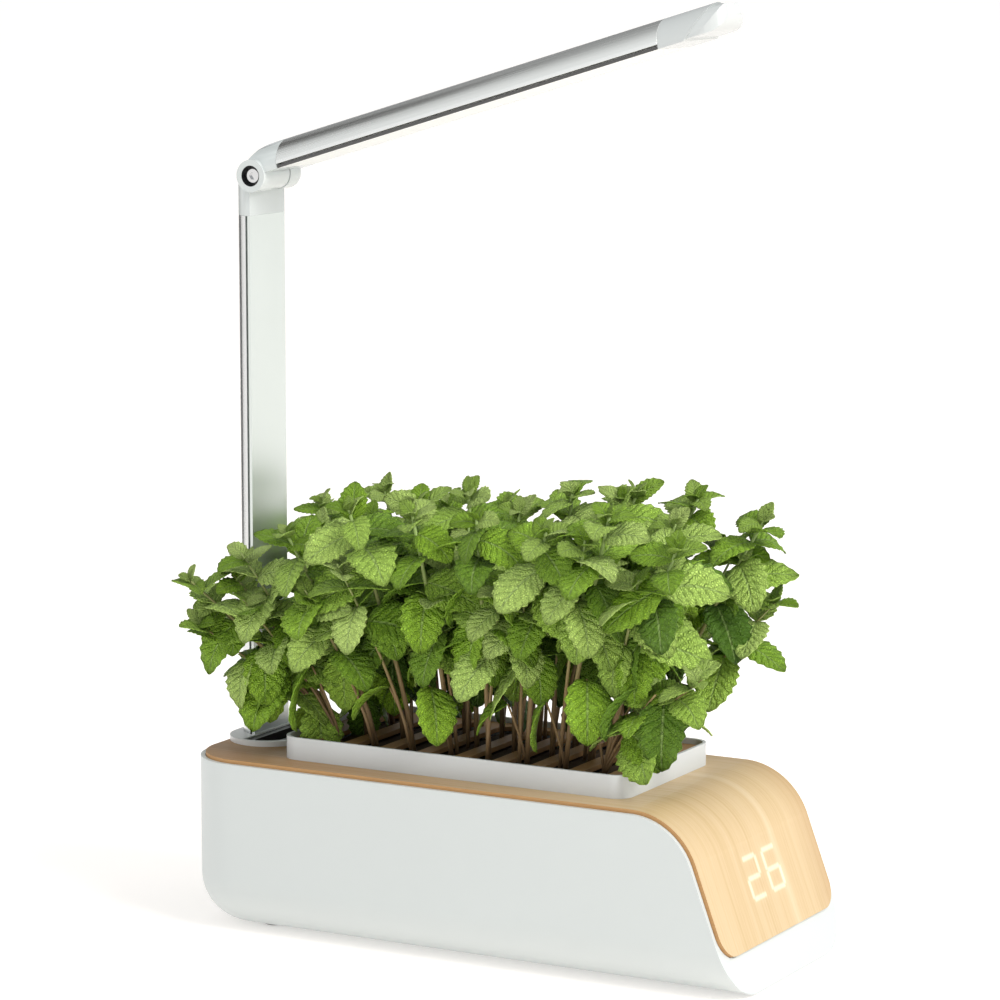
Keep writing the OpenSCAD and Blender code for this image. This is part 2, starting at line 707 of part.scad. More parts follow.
// Knuckle: the hinge barrel with a neck that grows into the arm's section.
module arm_knuckle() {
    slot_w = lug_w + 2 * washer_t + 4 * run;
    neck = [[-6.2, 6], [2, 13.4], [7, 15.1], [12, arm_crest], [ext_start, arm_crest],
        [ext_start, plate_low], [0, plate_low]];
    color("white") difference() {
        union() {
            on_arm() translate([0, barrel_y, 0]) rotate([-90, 0, 0])
                rotate_extrude($fn = 96) difference() {
                    union() {
                        square([barrel_r, barrel_l - 4]);
                        square([barrel_r - 4, barrel_l]);
                        translate([barrel_r - 4, barrel_l - 4]) circle(4, $fn = 64);
                    }
                    translate([-10, -1]) square([10, barrel_l + 2]);
                }
            intersection() {
                on_arm() translate([0, arm_w / 2 - 0.2, 0]) rotate([90, 0, 0])
                    linear_extrude(arm_w - 0.4) polygon(neck);
                on_arm() union() {
                    arm_form(arm_w, arm_edge, arm_crest - arm_edge, -20, ext_start);
                    translate([-20, -arm_w / 2, -20]) cube([20 + ext_start, arm_w,
                        20 + arm_edge + e]);
                }
            }
            on_arm() arm_spigot(ext_start - e, ext_start + spigot_l);
        }
        on_arm() rotate([90, 0, 0]) cylinder(r = barrel_r + 0.3, h = slot_w, center = true, $fn = 96);
        on_arm() translate([0, barrel_y - 1, 0]) rotate([-90, 0, 0])
            cylinder(d = recess_d, h = recess_l + 1, $fn = 64);
        on_arm() translate([0, barrel_y, 0]) rotate([-90, 0, 0])
            cylinder(d = screw_d + 2 * run, h = insert_y + insert_l - 2 - barrel_y, $fn = 48);
        on_arm() translate([0, insert_y, 0]) rotate([-90, 0, 0])
            cylinder(d = insert_d, h = insert_l, $fn = 48);
    }
}

module arm_extrusion() {
    color("silver") on_arm() difference() {
        arm_form(arm_w, arm_edge, arm_crest - arm_edge, ext_start, arm_l);
        difference() {
            arm_form(cavity_w, arm_edge - e, cavity_h + e, ext_start - 1, arm_l + 1);
            for (s = [0, 1]) mirror([0, s, 0])
                translate([ext_start - 2, led_w / 2 - 1, led_z + board_t])
                    cube([arm_l, arm_w, flange_t]);
        }
    }
}

module led_board() {
    color("white") on_arm() translate([led_start, -led_w / 2, led_z])
        cube([led_end - led_start, led_w, board_t]);
}

module led_chips() {
    color("khaki") on_arm() for (x = [led_start + led_pitch / 2 : led_pitch : led_end - led_d],
        s = [-1, 1]) translate([x - led_d / 2, s * led_row - led_d / 2, led_z - led_t])
            cube([led_d, led_d, led_t]);
}

module diffuser() {
    color("ivory") on_arm() translate([arm_l - fit, 0, plate_low]) rotate([0, -90, 0])
        rotate([0, 0, -90]) rail_plate(plate_w, plate_rails, plate_gap, arm_l - ext_start - 2 * fit);
}

// End cap: a hood cut at a slant, and a nose with a round end set in from it.
module arm_end_cap() {
    tip = arm_l + tip_l;
    hood = arm_l + hood_l;
    nose_in = 0.8;
    nose_w = arm_w - 2 * nose_in;
    r = 12;                                  // rounds the nose's underside
    h = arm_crest - plate_low;
    color("white") on_arm() {
        intersection() {
            arm_form(arm_w, plate_low, h, arm_l, tip);
            translate([0, arm_w, 0]) rotate([90, 0, 0]) linear_extrude(2 * arm_w)
                polygon([[arm_l, plate_low - 1], [hood - h, plate_low - 1],
                    [hood + 1, arm_crest + 1], [arm_l, arm_crest + 1]]);
        }
        intersection() {
            arm_form(nose_w, plate_low + nose_in, h - 2 * nose_in, arm_l + 5, tip);
            translate([0, arm_w, 0]) rotate([90, 0, 0]) linear_extrude(2 * arm_w) difference() {
                polygon([[arm_l, plate_low], [tip, plate_low], [tip, arm_crest - 3],
                    [hood, arm_crest - nose_in], [arm_l, arm_crest - nose_in]]);
                translate([tip - r, plate_low + nose_in + r]) corner_waste(r, [r, 0], [0, -r]);
            }
            translate([0, 0, plate_low - 1]) linear_extrude(h + 2) {
                translate([tip - nose_w / 2, 0]) circle(nose_w / 2, $fn = 128);
                translate([arm_l, -nose_w]) square([tip - nose_w / 2 - arm_l, 2 * nose_w]);
            }
        }
        arm_spigot(arm_l - spigot_l, arm_l + e);
    }
}

// Tray: a tall rim that stands on the cover, a flange, and a lower part that hangs in the tank.
module planting_tray() {
    color("white") difference() {
        union() {
            translate([tray_x, 0, cover_top]) linear_extrude(tray_rim)
                round_rect(tray_l, tray_w, tray_r);
            translate([tray_x, 0, tray_low]) linear_extrude(tray_depth + e)
                round_rect(tray_l - 2 * tray_step, tray_w - 2 * tray_step, tray_r - tray_step);
        }
        difference() {
            translate([tray_x, 0, cover_top + tray_t]) linear_extrude(tray_rim)
                round_rect(inner_l, inner_w, tray_r - tray_t);
            for (sx = [-1, 1]) translate([tray_x + sx * inner_l / 2 - tray_step, -slot_l / 4,
                cover_top]) cube([2 * tray_step, slot_l / 2, medium_z - cover_top]);
            for (sx = [-1, 0, 1], sy = [-1, 1]) translate([tray_x + sx * tray_l / 3 - 10,
                sy * inner_w / 2 - tray_step, cover_top])
                cube([20, 2 * tray_step, medium_z - cover_top]);
        }
        translate([tray_x, 0, tray_low + tray_t]) linear_extrude(tray_depth + tray_rim)
            round_rect(tray_l - 2 * tray_step - 2 * tray_t, tray_w - 2 * tray_step - 2 * tray_t,
                tray_r - tray_step - tray_t);
        for (x = slot_places) translate([x, 0, tray_low - 1]) linear_extrude(tray_t + 2)
            stadium(slot_l - 24, 4);
    }
}

module grow_deck() {
    color("peru") translate([0, 0, medium_z]) linear_extrude(deck_t) difference() {
        translate([tray_x, 0]) round_rect(inner_l - 2 * fit, inner_w - 2 * fit, tray_r - tray_t);
        for (x = slot_places) translate([x, 0]) stadium(slot_l, slot_w);
    }
}

module grow_medium() {
    color("saddlebrown") for (x = slot_places) translate([x, 0, tray_low + tray_t])
        linear_extrude(medium_top - tray_low - tray_t) stadium(slot_l - 2, slot_w - 1);
}

// Repeatable spread between -1 and 1 for a whole number k.
function spread(k) = let (v = sin(k * 127.1 + 37) * 43.7) 2 * (v - floor(v)) - 1;

// Height of the top of plant j in row i.
function plant_top(i, j) = foliage_top - row_drop[i] - 5 * abs(j) * (1 + spread(9 * i + j)) - 6
    - (i + j == -1 ? corner_drop : 0);

// How far the top of plant j in row i leans along the tub.
function lean_x(i, j) = row_lean[i] * (j == 0 ? 0.5 : 1) + (i + j == -1 ? corner_lean : 0);

// Stem of plant j in row i at height z: it bends outwards from the middle of the tray.
function stem_pt(i, j, z) = let (
    t = (z - medium_top) / (plant_top(i, j) - medium_top),
    bend = pow(max(t, 0), 1.3)) [
    slot_places[i] + lean_x(i, j) * bend,
    j * (plant_y + lean_y * bend), z];

// Stem: rings of four points swept along the stem's curve into one closed solid.
module stem(i, j) {
    rings = 5;
    n = 4;
    top = plant_top(i, j) - 2;
    polyhedron([for (k = [0 : rings - 1], a = [0 : n - 1]) stem_pt(i, j,
        medium_top + (top - medium_top) * k / (rings - 1))
        + stem_d / 2 * (1 - 0.4 * k / rings) * [cos(90 * a), sin(90 * a), 0]], concat(
        [[for (a = [0 : n - 1]) a]], [[for (a = [n - 1 : -1 : 0]) (rings - 1) * n + a]],
        [for (k = [0 : rings - 2], a = [0 : n - 1]) let (b = (a + 1) % n)
            [k * n + a, k * n + n + a, k * n + n + b, k * n + b]]));
}

// Leaf along +X from the stem: a pointed oval blade, thickest at its middle.
module leaf(l) {
    w = l * 0.37;
    hull() polyhedron([[-0.4, 0.4, 0], [l * 0.3, w * 0.9, 0], [l * 0.62, w * 0.85, 0], [l, 0, -1],
        [l * 0.62, -w * 0.85, 0], [l * 0.3, -w * 0.9, 0], [-0.4, -0.4, 0], [l * 0.4, 0, 1.4],
        [l * 0.4, 0, -1]], [for (k = [0 : 6], s = [7, 8]) s == 7 ? [s, k, (k + 1) % 7]
            : [s, (k + 1) % 7, k]]);
}

// Three bushy plants standing in one slot. Neighbours carry their leaves at different heights.
module plant_row(i) {
    color("forestgreen") for (j = [-1, 0, 1]) {
        step = (2 * (i % 3) + abs(j)) / 6;
        top = plant_top(i, j);
        stem(i, j);
        for (k = [0 : whorls]) {
            z = first_leaf + whorl * (k + step);
            size = leaf_l * (0.98 - 0.05 * abs(k - 3));
            turn = 45 + 90 * k + 5 * spread(7 * i + 3 * j + k);
            if (z < top - 4) for (a = [0, 180]) translate(stem_pt(i, j, z))
                rotate([0, 0, turn + a]) leaf(size);
        }
        for (a = [10 : 86 : 280]) translate(stem_pt(i, j, top - 3))
            rotate([0, -20, a]) leaf(leaf_l * 0.42);
    }
}

module display_board() {
    color("darkgreen") on_slope(display_s, cover_t + board_gap + board_t)
        translate([-board_l / 2, -board_w / 2, 0]) cube([board_l, board_w, board_t]);
}

module display_light_guides() {
    color("lemonchiffon") segments(0, cover_t + board_gap, 0.6);
}

module control_board() {
    color("darkgreen") translate([tank_front + stand_l, -control_w / 2, control_z - control_h / 2])
        cube([board_t, control_w, control_h]);
}

// On the control board: a processor, the inlet's terminal, a coil and two capacitors.
module control_chips() {
    color("black") translate([tank_front + stand_l + board_t, 0, control_z]) {
        translate([0, -chip_w / 2, -chip_w / 2]) cube([chip_t, chip_w, chip_w]);
        translate([0, -2 * chip_w, -chip_w]) cube([3 * chip_t, 0.8 * chip_w, chip_w]);
        translate([0, chip_w, chip_t]) cube([0.8 * chip_t, chip_w / 2, 0.7 * chip_w]);
        for (y = [1.2, 2]) translate([0, y * chip_w, -0.9 * chip_w]) rotate([0, 90, 0])
            cylinder(d = cap_d, h = cap_l, $fn = 32);
    }
}

module dc_inlet() {
    color("black") translate([-rear_x, inlet_y, port_z]) rotate([0, 90, 0]) difference() {
        union() {
            cylinder(d = inlet_body, h = inlet_l, $fn = 64);
            translate([0, 0, tub_t]) cylinder(d = inlet_body + 4, h = 2, $fn = 64);
        }
        translate([0, 0, -1]) cylinder(d = inlet_d, h = inlet_l - 1, $fn = 48);
    }
}

module inlet_pin() {
    color("silver") translate([-rear_x + 1.5, inlet_y, port_z]) rotate([0, 90, 0])
        cylinder(d = 2, h = inlet_l - 3.5, $fn = 24);
}

module power_button() {
    color("white") translate([-rear_x - button_out, button_y, port_z]) rotate([0, 90, 0]) {
        cylinder(d = button_d, h = button_out + tub_t + 1, $fn = 48);
        translate([0, 0, button_out + tub_t + run]) cylinder(d = button_d + 4, h = 1.2, $fn = 48);
        cylinder(d = 4, h = rear_x - tank_rear - switch_l - button_travel - run + button_out,
            $fn = 32);
    }
}

module button_switch() {
    color("dimgray") translate([-tank_rear - switch_l, button_y - 6, port_z - 6])
        cube([switch_l, 12, 12]);
}

tub();
wood_cover();
feet();
service_hatch();
hatch_screws();
water_tank();
pump_body();
pump_strainer();
pump_impeller();
pump_shaft();
riser_hose();
filler_socket();
socket_clamp();
clamp_screws();
post_extrusion();
post_panel();
hinge_base();
friction_washers();
hinge_screw();
hinge_insert();
arm_knuckle();
arm_extrusion();
led_board();
led_chips();
diffuser();
arm_end_cap();
planting_tray();
grow_deck();
grow_medium();
plant_row(0);  // plant_row_1
plant_row(1);  // plant_row_2
plant_row(2);  // plant_row_3
plant_row(3);  // plant_row_4
plant_row(4);  // plant_row_5
plant_row(5);  // plant_row_6
plant_row(6);  // plant_row_7
plant_row(7);  // plant_row_8
display_board();
display_light_guides();
control_board();
control_chips();
dc_inlet();
inlet_pin();
power_button();
button_switch();
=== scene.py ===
"""Looks of a countertop hydroponic garden: a white tub under an S-curved wood cover, a tray of
mint, and a tilting grow light on an aluminium post. Metres, +X to the display end, +Z up."""
import json
import math
import random
import bmesh
import bpy
from mathutils import Matrix, Vector

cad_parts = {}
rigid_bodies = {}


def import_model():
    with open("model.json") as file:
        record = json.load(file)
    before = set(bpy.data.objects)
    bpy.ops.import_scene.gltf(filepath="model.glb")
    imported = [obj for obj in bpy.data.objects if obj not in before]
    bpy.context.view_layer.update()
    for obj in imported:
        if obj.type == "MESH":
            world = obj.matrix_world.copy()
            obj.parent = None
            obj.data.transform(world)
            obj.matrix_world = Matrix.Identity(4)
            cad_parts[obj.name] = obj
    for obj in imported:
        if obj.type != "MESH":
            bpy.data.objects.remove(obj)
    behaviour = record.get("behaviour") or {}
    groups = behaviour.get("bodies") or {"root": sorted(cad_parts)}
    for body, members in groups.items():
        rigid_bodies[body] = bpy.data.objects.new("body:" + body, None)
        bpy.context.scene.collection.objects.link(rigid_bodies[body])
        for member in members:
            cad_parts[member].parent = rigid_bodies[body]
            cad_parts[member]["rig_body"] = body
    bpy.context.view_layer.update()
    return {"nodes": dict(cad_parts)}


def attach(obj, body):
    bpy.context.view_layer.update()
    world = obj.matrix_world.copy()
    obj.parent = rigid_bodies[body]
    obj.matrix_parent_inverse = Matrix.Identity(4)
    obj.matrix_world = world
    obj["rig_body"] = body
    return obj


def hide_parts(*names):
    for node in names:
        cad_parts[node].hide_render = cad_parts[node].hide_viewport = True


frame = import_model()
NODES = frame["nodes"]

# ---------------------------------------------------------------- camera, floor and light

LENS, SENSOR = 143.1, 36.0                  # millimetres
AZIMUTH, ELEVATION = math.radians(28.85), math.radians(8.77)
EYE = (1.00587, -1.83969, 0.56262)

SURROUND_TINT = (0.975, 0.99, 1.0)
SURROUND_STRENGTH = 1.15
REAR_LEFT = (-0.70, 0.71, 0.0)              # the way toward which the surround darkens
# Levels of the surround, from straight away from the rear left (0) to straight at it (1).
SURROUND_LEVELS = [(0.28, 0.60), (0.40, 1.0), (0.48, 1.0), (0.64, 0.78), (0.83, 0.38), (1.0, 0.22)]
WHITE_BELOW, GRADED_ABOVE = 0.11, 0.19      # height of the view direction: white wall, then levels

KEY_PLACE, KEY_AIM = (2.2, -0.4, 2.0), (0.0, 0.0, 0.15)
KEY_SIZE, KEY_WATTS, KEY_TINT = 1.3, 62.0, (1.0, 0.985, 0.96)

FLOOR_HALF = 40.0
FLOOR_PAPER, FLOOR_GLOW = (0.88, 0.83, 0.79), 0.36
FLAG_X, FLAG_NEAR, FLAG_FAR, FLAG_TOP = -1.1, 0.20, 0.75, 1.5
FLAG_GREY = (0.06, 0.06, 0.06)


def put_in_scene(name, data):
    thing = bpy.data.objects.new(name, data)
    bpy.context.scene.collection.objects.link(thing)
    return thing


def fill_band(band, stops):
    """Sets the stops of a colour band: (place, colour) pairs."""
    while len(band.elements) < len(stops):
        band.elements.new(1.0)
    for element, (place, colour) in zip(band.elements, stops):
        element.position = place
        element.color = (*colour, 1.0)


def point_camera():
    data = bpy.data.cameras.new("camera")
    data.lens, data.sensor_width = LENS, SENSOR
    camera = put_in_scene("camera", data)
    camera.location = EYE
    camera.rotation_euler = (math.pi / 2 - ELEVATION, 0.0, AZIMUTH)
    bpy.context.scene.camera = camera


def hang_key_light():
    data = bpy.data.lights.new("key", "AREA")
    data.shape, data.size, data.energy, data.color = "SQUARE", KEY_SIZE, KEY_WATTS, KEY_TINT
    light = put_in_scene("key", data)
    light.location = KEY_PLACE
    way = Vector(KEY_AIM) - Vector(KEY_PLACE)
    light.rotation_euler = way.to_track_quat("-Z", "Y").to_euler()


def light_studio():
    """A white surround that falls to grey high up at the rear left, and one soft key light."""
    bpy.context.scene.view_settings.view_transform = "Standard"
    world = bpy.data.worlds.new("studio")
    world.use_nodes = True
    bpy.context.scene.world = world
    nodes, links = world.node_tree.nodes, world.node_tree.links
    way = nodes.new("ShaderNodeTexCoord").outputs["Generated"]
    toward_rear = nodes.new("ShaderNodeVectorMath")
    toward_rear.operation = "DOT_PRODUCT"
    toward_rear.inputs[1].default_value = REAR_LEFT
    links.new(way, toward_rear.inputs[0])
    share = nodes.new("ShaderNodeMapRange")
    share.inputs["From Min"].default_value = -1.0
    links.new(toward_rear.outputs["Value"], share.inputs["Value"])
    levels = nodes.new("ShaderNodeValToRGB")
    links.new(share.outputs["Result"], levels.inputs["Fac"])
    fill_band(levels.color_ramp, [(place, tuple(c * level for c in SURROUND_TINT))
                                  for place, level in SURROUND_LEVELS])
    height = nodes.new("ShaderNodeSeparateXYZ")
    links.new(way, height.inputs["Vector"])
    above_wall = nodes.new("ShaderNodeMapRange")
    above_wall.inputs["From Min"].default_value = WHITE_BELOW
    above_wall.inputs["From Max"].default_value = GRADED_ABOVE
    links.new(height.outputs["Z"], above_wall.inputs["Value"])
    mix = nodes.new("ShaderNodeMix")
    mix.data_type = "RGBA"
    wall, high = [socket for socket in mix.inputs if socket.type == "RGBA"]
    wall.default_value = (*SURROUND_TINT, 1.0)
    links.new(above_wall.outputs["Result"], mix.inputs["Factor"])
    links.new(levels.outputs["Color"], high)
    surround = nodes["Background"]
    blend = [socket for socket in mix.outputs if socket.type == "RGBA"][0]
    links.new(blend, surround.inputs["Color"])
    surround.inputs["Strength"].default_value = SURROUND_STRENGTH
    hang_key_light()


def matt_paper(name, colour, glow=0.0):
    mat = bpy.data.materials.new(name)
    mat.use_nodes = True
    shade = mat.node_tree.nodes["Principled BSDF"]
    shade.inputs["Base Color"].default_value = (*colour, 1.0)
    shade.inputs["Roughness"].default_value = 0.9
    shade.inputs["Emission Color"].default_value = (1.0, 1.0, 1.0, 1.0)
    shade.inputs["Emission Strength"].default_value = glow
    return mat


def lay_floor():
    bm = bmesh.new()
    bmesh.ops.create_grid(bm, x_segments=1, y_segments=1, size=FLOOR_HALF)
    mesh = bpy.data.meshes.new("floor")
    bm.to_mesh(mesh)
    bm.free()
    mesh.materials.append(matt_paper("floor_paper", FLOOR_PAPER, FLOOR_GLOW))
    put_in_scene("floor", mesh)


def stand_flag():
    """A dark card at the left, seen only in reflections: the round metal edges show it."""
    corners = [(FLAG_X, FLAG_NEAR, 0.0), (FLAG_X, FLAG_FAR, 0.0),
               (FLAG_X, FLAG_FAR, FLAG_TOP), (FLAG_X, FLAG_NEAR, FLAG_TOP)]
    mesh = bpy.data.meshes.new("flag")
    mesh.from_pydata(corners, [], [(0, 1, 2, 3)])
    mesh.materials.append(matt_paper("flag_card", FLAG_GREY))
    card = put_in_scene("flag", mesh)
    card.visible_camera = card.visible_diffuse = card.visible_shadow = False


point_camera()
light_studio()
lay_floor()
stand_flag()

# ---------------------------------------------------------------- material building blocks

MM = 0.001


class Finish:
    """A material being wired up: short calls add nodes and return their output sockets."""

    def __init__(self, name, roughness=0.5, metallic=0.0, **fixed):
        self.mat = bpy.data.materials.new(name)
        self.mat.use_nodes = True
        self.tree = self.mat.node_tree
        self.shade = self.tree.nodes["Principled BSDF"]
        self.shade.inputs["Roughness"].default_value = roughness
        self.shade.inputs["Metallic"].default_value = metallic
        for key, value in fixed.items():
            self.shade.inputs[key.replace("_", " ")].default_value = value
        self.place = self.node("ShaderNodeTexCoord").outputs["Object"]

    def node(self, kind, **settings):
        made = self.tree.nodes.new(kind)
        for key, value in settings.items():
            setattr(made, key, value)
        return made

    def put(self, socket, value):
        if isinstance(value, bpy.types.NodeSocket):
            self.tree.links.new(value, socket)
        else:
            socket.default_value = value

    def stretch(self, scale, turn=(0.0, 0.0, 0.0), source=None):
        mapping = self.node("ShaderNodeMapping")
        self.put(mapping.inputs["Vector"], source or self.place)
        mapping.inputs["Scale"].default_value = scale
        mapping.inputs["Rotation"].default_value = turn
        return mapping.outputs["Vector"]

    def noise(self, scale, detail=4.0, rough=0.55, source=None, distortion=0.0):
        tex = self.node("ShaderNodeTexNoise")
        self.put(tex.inputs["Vector"], source or self.place)
        tex.inputs["Scale"].default_value = scale
        tex.inputs["Detail"].default_value = detail
        tex.inputs["Roughness"].default_value = rough
        tex.inputs["Distortion"].default_value = distortion
        return tex.outputs["Fac"]

    def cell_edges(self, scale, source=None):
        """Distance to the edges of a net of cells."""
        tex = self.node("ShaderNodeTexVoronoi", feature="DISTANCE_TO_EDGE")
        self.put(tex.inputs["Vector"], source or self.place)
        tex.inputs["Scale"].default_value = scale
        return tex.outputs["Distance"]

    def ramp(self, value, stops):
        ramp = self.node("ShaderNodeValToRGB")
        self.put(ramp.inputs["Fac"], value)
        fill_band(ramp.color_ramp, stops)
        return ramp.outputs["Color"]

    def spread(self, value, low, high, out_low=0.0, out_high=1.0):
        node = self.node("ShaderNodeMapRange")
        self.put(node.inputs["Value"], value)
        node.inputs["From Min"].default_value, node.inputs["From Max"].default_value = low, high
        node.inputs["To Min"].default_value, node.inputs["To Max"].default_value = out_low, out_high
        return node.outputs["Result"]

    def math(self, operation, a, b=None):
        node = self.node("ShaderNodeMath", operation=operation)
        self.put(node.inputs[0], a)
        if b is not None:
            self.put(node.inputs[1], b)
        return node.outputs["Value"]

    def vector(self, operation, a, b=None):
        node = self.node("ShaderNodeVectorMath", operation=operation)
        self.put(node.inputs[0], a)
        if b is not None:
            self.put(node.inputs[1], b)
        return node.outputs["Value" if operation == "LENGTH" else "Vector"]

    def parts(self, source=None):
        node = self.node("ShaderNodeSeparateXYZ")
        self.put(node.inputs["Vector"], source or self.place)
        return [node.outputs[axis] for axis in "XYZ"]

    def flat(self, x, y):
        """A point on a flat drawing, from two numbers."""
        node = self.node("ShaderNodeCombineXYZ")
        self.put(node.inputs["X"], x)
        self.put(node.inputs["Y"], y)
        return node.outputs["Vector"]

    def mix(self, share, a, b, blend="MIX"):
        node = self.node("ShaderNodeMix", data_type="RGBA", blend_type=blend)
        self.put(node.inputs["Factor"], share)
        for socket, colour in zip([s for s in node.inputs if s.type == "RGBA"], (a, b)):
            self.put(socket, colour if isinstance(colour, bpy.types.NodeSocket) else (*colour, 1.0))
        return [s for s in node.outputs if s.type == "RGBA"][0]

    def colour(self, socket):
        self.put(self.shade.inputs["Base Color"], socket)

    def gloss(self, socket):
        self.put(self.shade.inputs["Roughness"], socket)

    def uneven_gloss(self, roughness):
        """Roughness that drifts a little, as on any handled moulding."""
        self.gloss(self.spread(self.noise(60.0, 4.0), 0.3, 0.7, roughness - 0.02, roughness + 0.03))

    def relief(self, height, depth, strength=1.0):
        bump = self.node("ShaderNodeBump")
        bump.inputs["Strength"].default_value = strength
        bump.inputs["Distance"].default_value = depth
        self.put(bump.inputs["Height"], height)
        self.put(self.shade.inputs["Normal"], bump.outputs["Normal"])


def moulded(name, colour, roughness, grain=0.02 * MM, **fixed):
    """Moulded plastic: a fine spark-eroded grain and slow changes of tone and gloss."""
    f = Finish(name, roughness, **fixed)
    f.colour(f.mix(f.noise(9.0, 3.0), tuple(c * 0.97 for c in colour), colour))
    f.uneven_gloss(roughness)
    f.relief(f.noise(2200.0, 2.0), grain, 0.5)
    return f.mat


# How close the grain of metal is along each axis: even, or drawn out along z or x.
CAST, DRAWN_Z, DRAWN_X = (900.0, 900.0, 900.0), (900.0, 900.0, 10.8), (10.8, 900.0, 900.0)


def metal(name, colour, roughness, grain=CAST, slope=0.0, depth=0.004 * MM, dulled=0.12):
    """Bare metal: fine grain, drawn out along a bar. slope is the angle at which the bar rises."""
    f = Finish(name, roughness, 1.0)
    bar = f.stretch((1.0, 1.0, 1.0), (0.0, slope, 0.0))
    lines = f.noise(1.0, 5.0, 0.6, f.stretch(grain, source=bar))
    f.colour(f.mix(lines, tuple(c * (1.0 - dulled) for c in colour), colour))
    f.gloss(f.spread(lines, 0.25, 0.75, roughness * 0.8, roughness * 1.25))
    f.relief(lines, depth, 0.35)
    return f.mat


# ---------------------------------------------------------------- the veneer and its glowing digits

SLOPE = math.radians(69.5)                  # the nose's slope below the horizontal
SLOPE_TOP_X, SLOPE_TOP_Z = 143.6 * MM, 70.33 * MM   # where the curve ends and the slope begins
UNROLL = 0.694                              # share of the height that unrolls the nose onto x
DIGITS_DOWN = 18 * MM                       # middle of the digits, down the slope
DIGIT_HEIGHT, DIGIT_WIDTH, DIGIT_PITCH = 22 * MM, 15 * MM, 23 * MM
BAR, BAR_GAP = 0.5 * MM, 1.3 * MM           # width of a bar's core, and what its ends leave free
BARS_OF = {2: "top right_high middle left_low bottom",
           6: "top left_high middle left_low right_low bottom"}
CORE_LIGHT, HALO_LIGHT, HALO_REACH = 0.34, 0.06, 8 * MM
NOSE_FROM, NOSE_FULL = 0.12, 0.125          # x from which the digits may glow
BEECH = [(0.34, (0.605, 0.455, 0.265)), (0.50, (0.575, 0.420, 0.225)),
         (0.66, (0.500, 0.345, 0.162))]
# Next line: the third colour is painted shade, the brown that darkens the wood toward the rear and
# the far edge.
PORE, PALE_STREAK, SHADE_BROWN = (0.42, 0.27, 0.13), (0.72, 0.59, 0.40), (0.60, 0.42, 0.21)
STREAK_Y, STREAK_HALF = 0.026, 0.005


def bar_boxes(digit, across):
    """Middle and half size of each lit bar of a digit: down the slope, then across it."""
    high, wide = (DIGIT_HEIGHT - BAR) / 2, (DIGIT_WIDTH - BAR) / 2
    flat, upright = (BAR / 2, wide - BAR_GAP), (high / 2 - BAR_GAP, BAR / 2)
    places = {"top": (-high, 0, flat), "middle": (0, 0, flat), "bottom": (high, 0, flat),
              "left_high": (-high / 2, -wide, upright), "left_low": (high / 2, -wide, upright),
              "right_high": (-high / 2, wide, upright), "right_low": (high / 2, wide, upright)}
    for name in BARS_OF[digit].split():
        down, side, half = places[name]
        yield (down, side + across, 0.0), (*half, 1.0)


def digit_glow(f):
    """Light of the digits through the sheet: a core along each bar and a halo round it."""
    x, y, z = f.parts()
    down = f.math("ADD", f.math("MULTIPLY", f.math("SUBTRACT", x, SLOPE_TOP_X), math.cos(SLOPE)),
                  f.math("MULTIPLY", f.math("SUBTRACT", SLOPE_TOP_Z, z), math.sin(SLOPE)))
    face = f.flat(f.math("SUBTRACT", down, DIGITS_DOWN), y)
    nearest = None
    for digit, across in ((2, -DIGIT_PITCH / 2), (6, DIGIT_PITCH / 2)):
        for middle, half in bar_boxes(digit, across):
            away = f.vector("ABSOLUTE", f.vector("SUBTRACT", face, middle))
            outside = f.vector("MAXIMUM", f.vector("SUBTRACT", away, half), (0.0, 0.0, 0.0))
            gap = f.vector("LENGTH", outside)
            nearest = gap if nearest is None else f.math("MINIMUM", nearest, gap)
    core = f.math("MULTIPLY", f.spread(nearest, 0.3 * MM, 1.7 * MM, 1.0, 0.0), CORE_LIGHT)
    halo = f.math("POWER", f.spread(nearest, 0.0, HALO_REACH, 1.0, 0.0), 3.0)
    light = f.math("ADD", core, f.math("MULTIPLY", halo, HALO_LIGHT))
    return f.math("MULTIPLY", light, f.spread(x, NOSE_FROM, NOSE_FULL))


